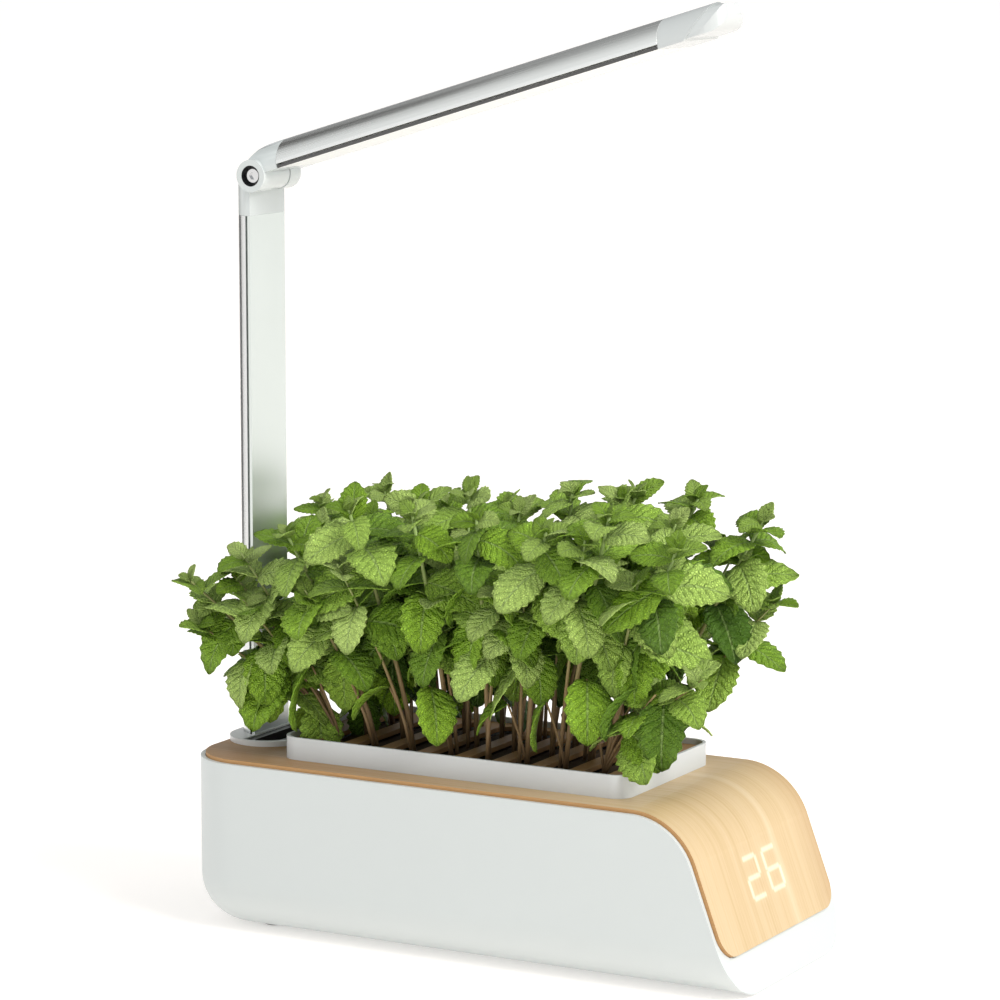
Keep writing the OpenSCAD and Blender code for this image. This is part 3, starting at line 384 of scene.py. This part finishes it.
def veneer():
    """Light beech: fine straight grain, a pale streak, painted shade browning it toward the rear and
    the far edge, and glowing digits.
    """
    f = Finish("cover_beech_veneer", 0.42, Coat_Weight=0.2, Coat_Roughness=0.25)
    x, y, z = f.parts()
    sheet = f.flat(f.math("SUBTRACT", x, f.math("MULTIPLY", z, UNROLL)), y)
    cloud = f.noise(1.0, 2.0, 0.5, f.stretch((6.0, 16.0, 1.0), source=sheet))
    bands = f.noise(1.0, 3.0, 0.55, f.stretch((2.2, 95.0, 1.0), source=sheet))
    lines = f.noise(1.0, 4.0, 0.6, f.stretch((5.0, 620.0, 1.0), source=sheet))
    pores = f.noise(1.0, 3.0, 0.6, f.stretch((150.0, 1500.0, 1.0), source=sheet))
    broad = f.math("ADD", f.math("MULTIPLY", bands, 0.35), f.math("MULTIPLY", cloud, 0.20))
    wood = f.ramp(f.math("ADD", f.math("MULTIPLY", lines, 0.45), broad), BEECH)
    wood = f.mix(f.spread(pores, 0.56, 0.70, 0.0, 0.20), wood, PORE)
    wander = f.math("ADD", y, f.math("MULTIPLY", cloud, 0.012))
    from_streak = f.math("ABSOLUTE", f.math("SUBTRACT", wander, STREAK_Y))
    wood = f.mix(f.spread(from_streak, 0.0, STREAK_HALF, 0.40, 0.0), wood, PALE_STREAK)
    # Painted shade: the wood is darkened and browned toward the rear and toward the far edge.
    rear, far_edge_shade = f.spread(x, -0.12, 0.13, 1.0, 0.0), f.spread(y, 0.045, 0.075, 0.0, 0.50)
    f.colour(f.mix(f.math("MAXIMUM", rear, far_edge_shade), wood, SHADE_BROWN, "MULTIPLY"))
    f.gloss(f.spread(lines, 0.3, 0.7, 0.34, 0.50))
    f.relief(f.math("SUBTRACT", lines, f.math("MULTIPLY", pores, 0.8)), 0.05 * MM, 0.4)
    f.put(f.shade.inputs["Emission Strength"], digit_glow(f))
    f.shade.inputs["Emission Color"].default_value = (0.90, 0.95, 0.92, 1.0)
    return f.mat


def veneer_edge():
    """The cut edge of the veneered board: warmer than its face, and darker with painted shade along
    the edge.
    """
    f = Finish("cover_cut_edge", 0.55)
    lines = f.noise(1.0, 3.0, 0.5, f.stretch((60.0, 60.0, 1500.0)))
    # The darker tones are partly painted shade along the board's edge.
    f.colour(f.mix(lines, (0.40, 0.20, 0.07), (0.58, 0.33, 0.13)))
    f.relief(lines, 0.05 * MM, 0.4)
    return f.mat


# ---------------------------------------------------------------- finishes of the other pieces

# Next line: the second colour is painted shade inside the recess round the hinge screw.
SHELL_WHITE, BORE_SHADE_BLACK = (0.580, 0.618, 0.612), (0.018, 0.018, 0.020)
# Next line: the second colour is painted shade inside the filler opening.
COLLAR_WHITE, FILLER_SHADE_DARK = (0.66, 0.665, 0.66), (0.030, 0.026, 0.022)
# Next line: the second colour is painted shade of the gap along the window's long sides.
WINDOW_WHITE, WINDOW_GAP_SHADE = (0.80, 0.81, 0.79), (0.07, 0.07, 0.07)
WINDOW_HALF = 19.3 * MM                     # half width at which the painted shade of the gap along the window begins
HINGE_X, HINGE_Z = -0.1503, 0.408
RECESS_RADIUS, RECESS_MOUTH, RECESS_END = 5.8 * MM, -20.7 * MM, -15.0 * MM
COLLAR_X, COLLAR_STRAIGHT = -0.147, 11.5 * MM   # the oval opening's middle and half straight side
FILLER_RADIUS, FILLER_TOP = 20.2 * MM, 98.2 * MM


def deck_finish():
    """Brown wood-look deck of the tray."""
    f = Finish("deck_brown_board", 0.5)
    fibre = f.noise(1.0, 4.0, 0.6, f.stretch((22.0, 420.0, 60.0)))
    grain = f.mix(fibre, (0.28, 0.145, 0.050), (0.43, 0.245, 0.095))
    f.colour(f.mix(f.noise(24.0, 2.0), grain, (0.33, 0.175, 0.068)))
    f.relief(fibre, 0.1 * MM, 0.5)
    return f.mat


def sponge_finish():
    """Wet fibre growing medium."""
    f = Finish("medium_wet_fibre", 0.85)
    fibre = f.noise(700.0, 6.0, 0.7, distortion=1.2)
    f.colour(f.mix(fibre, (0.022, 0.012, 0.007), (0.10, 0.058, 0.030)))
    f.relief(fibre, 0.8 * MM)
    return f.mat


def panel_finish():
    """Polished plate on the post: a soft mirror."""
    f = Finish("post_polished_plate", 0.38, 1.0)
    haze = f.noise(30.0, 3.0)
    f.colour(f.mix(haze, (0.66, 0.71, 0.68), (0.71, 0.755, 0.73)))
    f.gloss(f.spread(haze, 0.3, 0.7, 0.36, 0.41))
    return f.mat


def diffuser_finish():
    """Milky window of the lamp, with painted shade of the gap along its two long sides."""
    f = Finish("diffuser_milky", 0.35)
    across = f.math("ABSOLUTE", f.parts()[1])
    # Painted shade: a dark strip along each long side of the window stands for the shaded gap under
    # the aluminium.
    edge = f.spread(across, WINDOW_HALF, WINDOW_HALF + 0.1 * MM)
    f.colour(f.mix(edge, WINDOW_WHITE, WINDOW_GAP_SHADE))
    f.uneven_gloss(0.35)
    return f.mat


def knuckle_finish():
    """The arm's moulded neck, with painted shade inside the recess round the hinge screw."""
    f = Finish("neck_gloss_white", 0.24, Coat_Weight=0.3)
    x, y, z = f.parts()
    off_axis = f.flat(f.math("SUBTRACT", x, HINGE_X), f.math("SUBTRACT", z, HINGE_Z))
    in_bore = f.math("LESS_THAN", f.vector("LENGTH", off_axis), RECESS_RADIUS)
    in_depth = f.math("MULTIPLY", f.math("GREATER_THAN", y, RECESS_MOUTH),
                      f.math("LESS_THAN", y, RECESS_END))
    # Painted shade: the bore of the recess round the hinge screw is coloured near black.
    shaded_bore = f.math("MULTIPLY", in_bore, in_depth)
    f.colour(f.mix(shaded_bore, SHELL_WHITE, BORE_SHADE_BLACK))
    f.uneven_gloss(0.24)
    return f.mat


def socket_finish():
    """White collar, with painted shade inside its filler opening."""
    f = Finish("socket_white", 0.30)
    x, y, z = f.parts()
    past_straight = f.math("SUBTRACT", f.math("ABSOLUTE", y), COLLAR_STRAIGHT)
    off_middle = f.flat(f.math("SUBTRACT", x, COLLAR_X), f.math("MAXIMUM", past_straight, 0.0))
    in_oval = f.math("LESS_THAN", f.vector("LENGTH", off_middle), FILLER_RADIUS)
    below = f.math("LESS_THAN", z, FILLER_TOP)
    # Painted shade: the inside of the oval filler opening below its top is coloured near black.
    f.colour(f.mix(f.math("MULTIPLY", in_oval, below), COLLAR_WHITE, FILLER_SHADE_DARK))
    f.uneven_gloss(0.30)
    return f.mat


def board_finish(name, mask, copper):
    """Printed circuit board: lacquer with faint tracks under it."""
    f = Finish(name, 0.35)
    tracks = f.cell_edges(160.0)
    f.colour(f.mix(f.spread(tracks, 0.02, 0.05), copper, mask))
    f.relief(tracks, 0.02 * MM, 0.4)
    return f.mat


def lens_finish(name, colour, glow):
    """Cast resin over a light source."""
    f = Finish(name, 0.25, Emission_Strength=glow)
    f.shade.inputs["Emission Color"].default_value = (*colour, 1.0)
    f.colour(f.mix(f.noise(400.0, 2.0), tuple(c * 0.94 for c in colour), colour))
    return f.mat


def rubber_finish(name, colour):
    """Rubber or fibre with a fine grit."""
    f = Finish(name, 0.8)
    grit = f.noise(1500.0, 3.0)
    f.colour(f.mix(grit, tuple(c * 0.85 for c in colour), colour))
    f.relief(grit, 0.03 * MM, 0.6)
    return f.mat


LEAF_TONES = [(0.0, (0.055, 0.130, 0.008)), (0.45, (0.380, 0.640, 0.042)),
              (1.0, (0.750, 0.970, 0.280))]
# Painted shade of the leaf's sunken net and side veins: the colours they are darkened toward.
HOLLOW_SHADE_GREEN, VEIN_SHADE_GREEN = (0.060, 0.150, 0.012), (0.085, 0.190, 0.028)
MIDRIB_GREEN = (0.42, 0.58, 0.20)
SIDE_VEINS, VEIN_SWEEP = 8.0, 0.24          # side veins along a leaf, and how far they run forward
STEM_TONES = [(0.0, (0.13, 0.075, 0.036)), (0.4, (0.32, 0.21, 0.090)), (1.0, (0.30, 0.42, 0.12))]


def leaf_finish():
    """Mint leaf: quilted between a net of sunken veins, with painted shade in the net and the side
    veins, a pale midrib, and a tone for each leaf.
    """
    f = Finish("mint_leaf", 0.48, Specular_IOR_Level=0.35)
    uv = f.node("ShaderNodeUVMap", uv_map="blade").outputs["UV"]
    along, across, _ = f.parts(uv)
    side = f.math("MULTIPLY", f.math("ABSOLUTE", f.math("SUBTRACT", across, 0.5)), 2.0)
    swept = f.math("MULTIPLY", f.math("POWER", side, 0.8), VEIN_SWEEP)
    wobble = f.math("MULTIPLY", f.noise(9.0, 2.0, source=uv), 0.10)
    phase = f.math("ADD", f.math("SUBTRACT", along, swept), wobble)
    wave = f.math("ABSOLUTE", f.math("SINE", f.math("MULTIPLY", phase, math.pi * SIDE_VEINS)))
    vein_shade = f.spread(wave, 0.0, 0.32, 1.0, 0.0)
    midrib = f.spread(side, 0.02, 0.08, 1.0, 0.0)
    net = f.cell_edges(1.0, f.stretch((24.0, 15.0, 1.0), source=uv))
    quilt = f.spread(net, 0.0, 0.32)
    tone = f.node("ShaderNodeAttribute", attribute_name="tone").outputs["Fac"]
    # Painted shade: the net between the quilted cells and the side veins are darkened, as sunken
    # lines in shade.
    hollow_shade = f.math("SUBTRACT", 1.0, quilt)
    blade = f.mix(f.math("MULTIPLY", hollow_shade, 0.45), f.ramp(tone, LEAF_TONES), HOLLOW_SHADE_GREEN)
    blade = f.mix(f.math("MULTIPLY", vein_shade, 0.22), blade, VEIN_SHADE_GREEN)
    f.colour(f.mix(f.math("MULTIPLY", midrib, 0.50), blade, MIDRIB_GREEN))
    between = f.math("SUBTRACT", f.math("POWER", wave, 0.6), f.math("MULTIPLY", midrib, 0.8))
    f.relief(f.math("ADD", f.math("MULTIPLY", quilt, 0.55), between), 1.3 * MM)
    f.gloss(f.spread(quilt, 0.0, 1.0, 0.60, 0.40))
    return f.mat


def stem_finish():
    """Stems: woody brown at the foot, green towards the top."""
    f = Finish("mint_stem", 0.55)
    z = f.parts()[2]
    streaks = f.noise(1.0, 3.0, 0.5, f.stretch((900.0, 900.0, 60.0)))
    rise = f.math("ADD", z, f.math("MULTIPLY", streaks, 0.03))
    f.colour(f.ramp(f.spread(rise, 0.11, 0.23), STEM_TONES))
    f.relief(streaks, 0.3 * MM, 0.7)
    return f.mat


SHELL = moulded("shell_satin_white", SHELL_WHITE, 0.38, Coat_Weight=0.15, Coat_Roughness=0.2)
# Painted shade: the tip is the same gloss white as the cap and neck, made darker so the key light
# leaves its end face grey.
TIP_SHADED_WHITE = moulded("tip_gloss_white_shaded", (0.54, 0.565, 0.56), 0.24, 0.006 * MM, Coat_Weight=0.3)
HINGE = moulded("hinge_gloss_white", SHELL_WHITE, 0.24, 0.006 * MM, Coat_Weight=0.3)
TRAY = moulded("tray_white", (0.585, 0.61, 0.615), 0.42)
TANK = moulded("tank_grey", (0.52, 0.56, 0.60), 0.40)
PUMP = moulded("pump_black", (0.030, 0.032, 0.035), 0.45)
PUMP_GREY = moulded("pump_strainer_grey", (0.10, 0.105, 0.11), 0.50)
IMPELLER = moulded("impeller_white", (0.75, 0.74, 0.70), 0.35)
CHIP = moulded("component_black", (0.012, 0.012, 0.014), 0.40)
INLET = moulded("inlet_black", (0.014, 0.014, 0.014), 0.35)
ARM_RISE = math.radians(16.6)
POST_METAL = metal("post_satin_aluminium", (0.76, 0.78, 0.78), 0.22, DRAWN_Z)
ARM_METAL = metal("arm_satin_aluminium", (0.88, 0.89, 0.865), 0.24, DRAWN_X, ARM_RISE, 0.002 * MM)
STEEL = metal("screw_zinc", (0.55, 0.56, 0.57), 0.32)
CHROME = metal("screw_chrome", (0.70, 0.71, 0.72), 0.12, dulled=0.05)
BRASS = metal("insert_brass", (0.72, 0.53, 0.22), 0.28)
RUBBER = rubber_finish("foot_rubber", (0.10, 0.10, 0.10))
WASHER = rubber_finish("washer_fibre", (0.035, 0.035, 0.035))
HOSE = rubber_finish("riser_tube", (0.60, 0.62, 0.58))
LAMP_BOARD = board_finish("lamp_board_white", (0.80, 0.80, 0.78), (0.62, 0.62, 0.60))
GREEN_BOARD = board_finish("board_green", (0.010, 0.10, 0.035), (0.05, 0.20, 0.07))
LAMP_LENS = lens_finish("lamp_lens", (0.90, 0.78, 0.30), 0.0)
LIGHT_GUIDE = lens_finish("light_guide", (1.0, 0.90, 0.62), 0.6)

FINISH_OF = {
    "feet": RUBBER, "service_hatch": SHELL, "hatch_screws": STEEL, "water_tank": TANK,
    "pump_body": PUMP, "pump_strainer": PUMP_GREY, "pump_impeller": IMPELLER, "pump_shaft": STEEL,
    "riser_hose": HOSE, "socket_clamp": TANK, "clamp_screws": STEEL, "post_panel": panel_finish(),
    "friction_washers": WASHER, "hinge_screw": CHROME, "hinge_insert": BRASS,
    "led_board": LAMP_BOARD, "led_chips": LAMP_LENS, "diffuser": diffuser_finish(),
    "grow_medium": sponge_finish(), "display_board": GREEN_BOARD,
    "display_light_guides": LIGHT_GUIDE, "control_board": GREEN_BOARD.copy(),
    "control_chips": CHIP, "dc_inlet": INLET, "inlet_pin": STEEL, "power_button": HINGE,
    "button_switch": CHIP,
}
for node, finish in FINISH_OF.items():
    for part in NODES[node].material_slots:
        part.material = finish

# ---------------------------------------------------------------- moulded and machined pieces

WELD = 2e-6                                 # vertices closer than this are one
FLAT = math.radians(0.4)                    # faces that turn less than this are one flat face
FOLD = math.radians(35.0)                   # edges that turn more than this are sharp


def softened(name, node, finish, edge, segments=2):
    """A copy of a CAD node with its flat faces joined, smooth curves and rounded edges."""
    bm = bmesh.new()
    bm.from_mesh(NODES[node].data)
    bmesh.ops.remove_doubles(bm, verts=bm.verts, dist=WELD)
    bmesh.ops.dissolve_degenerate(bm, edges=bm.edges, dist=WELD)
    bmesh.ops.dissolve_limit(bm, angle_limit=FLAT, verts=bm.verts, edges=bm.edges,
                             use_dissolve_boundaries=False)
    for face in bm.faces:
        face.smooth = True
    mesh = bpy.data.meshes.new(name)
    bm.to_mesh(mesh)
    bm.free()
    mesh.set_sharp_from_angle(angle=FOLD)
    mesh.materials.append(finish)
    piece = put_in_scene(name, mesh)
    round_edges = piece.modifiers.new("rounded_edges", "BEVEL")
    round_edges.width, round_edges.segments = edge, segments
    round_edges.limit_method, round_edges.angle_limit = "ANGLE", FOLD
    round_edges.harden_normals = True
    round_edges.use_clamp_overlap = True
    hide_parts(node)
    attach(piece, NODES[node]["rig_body"])
    return piece


softened("tub_shell", "tub", SHELL, 0.6 * MM, 3)
cover = softened("cover_board", "wood_cover", veneer(), 0.3 * MM)
cover.data.materials.append(veneer_edge())
for face in cover.data.polygons:
    if abs(face.normal.y) > 0.3:            # the cut edges face the tub's long walls
        face.material_index = 1
softened("tray_basin", "planting_tray", TRAY, 0.6 * MM, 3)
softened("tray_deck", "grow_deck", deck_finish(), 0.3 * MM)
softened("post_socket", "filler_socket", socket_finish(), 0.5 * MM, 3)
softened("post_profile", "post_extrusion", POST_METAL, 0.2 * MM)
softened("post_cap", "hinge_base", HINGE, 0.6 * MM, 3)
softened("arm_neck", "arm_knuckle", knuckle_finish(), 0.5 * MM, 3)
softened("arm_profile", "arm_extrusion", ARM_METAL, 0.2 * MM)
softened("arm_tip", "arm_end_cap", TIP_SHADED_WHITE, 0.5 * MM, 3)

# ---------------------------------------------------------------- mint plants

SLOTS, SLOT_PITCH, TRAY_X = 8, 23 * MM, -10.4 * MM
PLANT_Y, FOOT_Z, TOP_Z = 28 * MM, 101.8 * MM, 250.4 * MM
# For each row, from the post to the digits: how far its tops lean along x, and how much lower
# than TOP_Z they end, in millimetres. The outer plants lean out along y as well.
ROW_LEAN = [-60, -42, -26, -10, 6, 24, 38, 54]
ROW_DROP = [28, 19, 14, 7, 9, 1, 0, 10]
LEAN_Y = 24 * MM
CORNER_LEAN, CORNER_DROP = -22 * MM, 26 * MM
# Pairs of leaves down a shoot: distance below its top, length, pitch above the horizontal.
PAIRS = [(1, 9, 66), (3, 15, 48), (6, 22, 32), (12, 30, 18), (22, 35, 4), (34, 37, -10),
         (48, 36, -22), (64, 32, -32)]
SIDE_PAIRS = PAIRS[1:6]
# By plant across the tray (-1 near, 0 middle, 1 far): pairs further down, how far the leaves turn
# to the light of the near side, and the number of side shoots.
DEEP_PAIRS = {-1: [], 0: [(84, 28, -38)], 1: [(82, 30, -38), (102, 26, -42), (118, 20, -40)]}
TILTS = {-1: 0.48, 0: 0.45, 1: 0.32}
SIDE_SHOOTS = {-1: 1, 0: 2, 1: 2}
MAIN_STEM, LOW_STEM, SIDE_STEM, LEAF_STALK = 1.5 * MM, 1.2 * MM, 1.1 * MM, 0.9 * MM
# Low shoots at two near corners: lean along x and y, height, leaf pairs, leaf size, stem radius.
REAR_SHOOTS = [(*shape, SIDE_PAIRS, 0.9, LOW_STEM) for shape in
               ((-50, -20, 104), (-60, -12, 90), (-74, -16, 76), (-46, -26, 80))]
FRONT_SHOOTS = [(64, -14, 60, SIDE_PAIRS, 0.95, LOW_STEM), (38, -16, 50, PAIRS[2:5], 0.90, SIDE_STEM)]
LOW_SHOOTS = {(1, -1): REAR_SHOOTS, (SLOTS, -1): FRONT_SHOOTS}
# Single leaves on short stems low at the near side: row, place of the leaf's foot, heading and
# pitch in degrees, length, tone.
LOW_LEAVES = [(1, (-99, -45, 148), -115, -48, 38, 0.30), (1, (-122, -40, 142), -135, -35, 30, 0.25),
              (3, (-52, -42, 140), -140, -15, 27, 0.35), (4, (-26, -44, 143), -45, -36, 34, 0.45),
              (6, (20, -42, 138), -150, -20, 24, 0.35), (7, (44, -44, 142), -110, -50, 28, 0.30),
              (8, (68, -44, 156), -60, -44, 36, 0.40), (8, (110, -38, 148), -70, -50, 38, 0.12),
              (8, (98, -42, 154), -140, -30, 34, 0.15)]
LEAF_ALONG, LEAF_ACROSS = 14, 4             # faces of a leaf
# Half width of a leaf to its length, and how its outline leaves the stalk and closes at the tip.
BLADE_WIDE, BLADE_ROOT, BLADE_TIP = 0.80, 0.52, 0.72
TOOTH, TOOTH_AHEAD, RIPPLE = 0.075, 0.035, 0.022
LEAF_THICK, STALK_WIDE = 0.4 * MM, 0.6 * MM
LOWEST_PAIR = 0.16                          # share of a shoot's height below which no leaves grow
SEED = 40
RINGS, RING_SIDES, TAPER = 7, 7, 0.45
TRIES, TURN_ASIDE = 7, 0.45                 # a leaf that would meet the post is turned aside
REACH_LOW, REACH_HIGH = Vector((-0.1825, -0.0730, 0.0975)), Vector((0.1660, 0.0735, 0.2510))
POST_LOW, POST_HIGH = Vector((-0.1720, -0.0215)), Vector((-0.1505, 0.0215))


def shoot_point(foot, lean, height, share):
    """A point on a shoot, at a share of its height: it leaves its foot upright and bends away."""
    bend = share ** 1.3
    return Vector((foot[0] + lean[0] * bend, foot[1] + lean[1] * bend, foot[2] + height * share))


def squeezed(value, low, high, soft=12 * MM):
    """value, eased to stay between low and high."""
    if value > high - soft:
        return high - soft * math.exp(-(value - high + soft) / soft)
    if value < low + soft:
        return low + soft * math.exp((value - low - soft) / soft)
    return value


def leaf_spots(base, heading, pitch, length, bend, fold, roll, twist):
    """Where each point (u along, v across) of a leaf goes: an arched, folded, toothed blade."""
    turn = Matrix.Rotation(heading, 3, "Z")

    def spot(u, v, tooth):
        wide = BLADE_WIDE * length * max(u, 1e-4) ** BLADE_ROOT * max(1.0 - u, 0.0) ** BLADE_TIP
        wide = max(wide, STALK_WIDE) * (1.0 + tooth * abs(v) ** 6)
        ahead = u + TOOTH_AHEAD * tooth * abs(v) ** 6
        angle = pitch - bend * ahead
        x = length * (math.sin(pitch) - math.sin(angle)) / bend
        z = length * (math.cos(angle) - math.cos(pitch)) / bend
        lift = fold * abs(v) * wide - 0.35 * fold * v * v * wide
        ripple = math.sin(math.pi * abs(v)) * math.cos(2 * math.pi * (3.5 * u - abs(v)))
        lift += RIPPLE * length * ripple
        side = Vector((0.0, v * wide, lift))
        side = Matrix.Rotation(roll + twist * u, 3, "X") @ side
        normal = Vector((-math.sin(angle), 0.0, math.cos(angle)))
        return base + turn @ (Vector((x, side.y, z)) + normal * side.z)

    return spot


def blocked(spot):
    """Whether a leaf would run into the post."""
    trial = [spot(u, v, 0.0) for u in (0.3, 0.65, 1.0) for v in (-1.0, 0.0, 1.0)]
    return any(POST_LOW.x < p.x < POST_HIGH.x and POST_LOW.y < p.y < POST_HIGH.y for p in trial)


def grow_leaf(bm, tone_layer, spot, tone):
    grid = bmesh.ops.create_grid(bm, x_segments=LEAF_ALONG, y_segments=LEAF_ACROSS, size=0.5,
                                 calc_uvs=True)
    for vert in grid["verts"]:
        u, v = vert.co.x + 0.5, vert.co.y * 2.0
        step = round(u * LEAF_ALONG)
        tooth = TOOTH if step % 2 else -TOOTH
        p = spot(u, v, tooth if 1 < step < LEAF_ALONG else 0.0)
        vert.co = (squeezed(p.x, REACH_LOW.x, REACH_HIGH.x),
                   squeezed(p.y, REACH_LOW.y, REACH_HIGH.y),
                   max(min(p.z, REACH_HIGH.z), REACH_LOW.z))
        vert[tone_layer] = tone


def grow_stem(bm, point, thick):
    """A stem swept ring by ring along the shoot."""
    bottom = point(0.0)
    ring = bmesh.ops.create_circle(bm, cap_ends=True, segments=RING_SIDES, radius=thick)["verts"]
    bmesh.ops.translate(bm, verts=ring, vec=bottom)
    edges = list(dict.fromkeys(e for v in ring for e in v.link_edges))
    for k in range(1, RINGS):
        out = bmesh.ops.extrude_edge_only(bm, edges=edges)["geom"]
        ring = [g for g in out if isinstance(g, bmesh.types.BMVert)]
        edges = [g for g in out if isinstance(g, bmesh.types.BMEdge)]
        place = point(k / (RINGS - 1))
        bmesh.ops.translate(bm, verts=ring, vec=place - bottom)
        shrink = (1.0 - TAPER * k / RINGS) / (1.0 - TAPER * (k - 1) / RINGS)
        bmesh.ops.scale(bm, verts=ring, vec=(shrink, shrink, 1.0), space=Matrix.Translation(-place))
        bottom = place
    bmesh.ops.holes_fill(bm, edges=edges, sides=0)


def grow_shoot(bed, foot, lean, height, pairs, size, thick, tilt):
    """A stem with crossed pairs of leaves. bed is what a row grows in: leaves, stems, the layer
    of tones and the row's random numbers."""
    leaves, stems, tone_layer, chance = bed

    def point(share):
        return shoot_point(foot, lean, height, share)

    grow_stem(stems, point, thick)
    start = chance.uniform(0.0, math.pi)
    for k, (drop, length, pitch) in enumerate(pairs):
        share = 1.0 - drop * MM * chance.uniform(0.9, 1.1) / height
        if share < LOWEST_PAIR:
            continue
        base = point(share)
        for half in (0, 1):
            long = length * MM * size * chance.uniform(0.84, 1.10)
            heading = start + k * math.pi / 2 + half * math.pi + chance.uniform(-0.35, 0.35)
            for _ in range(TRIES):
                aim = math.radians(pitch + chance.uniform(-22, 20))
                aim -= tilt * math.cos(heading + math.pi / 2)
                roll = tilt * math.cos(heading) + chance.uniform(-0.4, 0.4)
                bend, fold = chance.uniform(0.35, 1.25), chance.uniform(0.05, 0.45)
                twist = chance.uniform(-0.4, 0.4)
                spot = leaf_spots(base, heading, aim, long, bend, fold, roll, twist)
                if not blocked(spot):
                    fresh = 0.75 * (0.95 - 0.08 * k)
                    tone = min(1.0, max(0.0, fresh + chance.uniform(-0.34, 0.38)))
                    grow_leaf(leaves, tone_layer, spot, tone)
                    break
                heading += TURN_ASIDE


def plant_piece(name, bm, finish, row):
    mesh = bpy.data.meshes.new(name)
    for face in bm.faces:
        face.smooth = True
    bm.to_mesh(mesh)
    bm.free()
    mesh.materials.append(finish)
    piece = put_in_scene(name, mesh)
    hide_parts("plant_row_%d" % row)
    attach(piece, "tray")
    return piece


def grow_plant(bed, row, j, x):
    """One plant: a main shoot, its side shoots, and low shoots at two corners of the tray."""
    chance = bed[-1]
    corner = row == 1 and j == -1
    foot = Vector((x, j * PLANT_Y, FOOT_Z))
    drop = (ROW_DROP[row - 1] + chance.uniform(0, 9) * (1 + abs(j))) * MM
    height = TOP_Z - drop - (CORNER_DROP if corner else 0) - FOOT_Z
    lean = Vector((ROW_LEAN[row - 1] * MM * (0.5 if j == 0 else 1.0) + (CORNER_LEAN if corner else 0),
                   j * LEAN_Y, 0.0))
    grow_shoot(bed, foot, lean, height, PAIRS + DEEP_PAIRS[j], 1.0, MAIN_STEM, TILTS[j])
    for _ in range(SIDE_SHOOTS[j]):
        aside = Vector((chance.uniform(-16, 16) * MM, chance.uniform(-14, 14) * MM, 0.0))
        lower = height * chance.uniform(0.62, 0.92)
        step = Vector((chance.uniform(-4, 4) * MM, chance.uniform(-8, 8) * MM, 0.0))
        grow_shoot(bed, foot + step, lean * 0.8 + aside, lower, SIDE_PAIRS, 0.9, SIDE_STEM,
                   TILTS[j])
    for lean_x, lean_y, rise, pairs, size, thick in LOW_SHOOTS.get((row, j), []):
        low_lean = Vector((lean_x * MM, lean_y * MM, 0.0))
        grow_shoot(bed, foot, low_lean, rise * MM, pairs, size, thick, TILTS[j])


def grow_low_leaf(bed, foot, place, heading, pitch, length, tone):
    """A single leaf on a short stem of its own."""
    leaves, stems, tone_layer, chance = bed
    reach = place - foot
    grow_stem(stems, lambda share: shoot_point(foot, reach, reach.z, share), LEAF_STALK)
    roll = chance.uniform(-0.5, 0.5)
    spot = leaf_spots(foot + reach, math.radians(heading), math.radians(pitch), length * MM,
                      0.95, 0.40, roll, 0.5)
    grow_leaf(leaves, tone_layer, spot, tone)


def grow_row(row, leaf, stem):
    """The three plants of a slot: one piece of leaves and one of stems."""
    leaves, stems = bmesh.new(), bmesh.new()
    leaves.loops.layers.uv.new("blade")
    bed = leaves, stems, leaves.verts.layers.float.new("tone"), random.Random(SEED + row)
    x = TRAY_X + (row - 1 - (SLOTS - 1) / 2) * SLOT_PITCH
    for j in (-1, 0, 1):
        grow_plant(bed, row, j, x)
    near_foot = Vector((x, -PLANT_Y, FOOT_Z))
    for low_row, place, *shape in LOW_LEAVES:
        if low_row == row:
            grow_low_leaf(bed, near_foot, Vector(place) * MM, *shape)
    blades = plant_piece("mint_leaves_%d" % row, leaves, leaf, row)
    flesh = blades.modifiers.new("leaf_thickness", "SOLIDIFY")
    flesh.thickness, flesh.offset = LEAF_THICK, 0.0
    plant_piece("mint_stems_%d" % row, stems, stem, row)


LEAF, STEM = leaf_finish(), stem_finish()
for number in range(1, SLOTS + 1):
    grow_row(number, LEAF, STEM)

# ---------------------------------------------------------------- final update of the scene

bpy.context.view_layer.update()
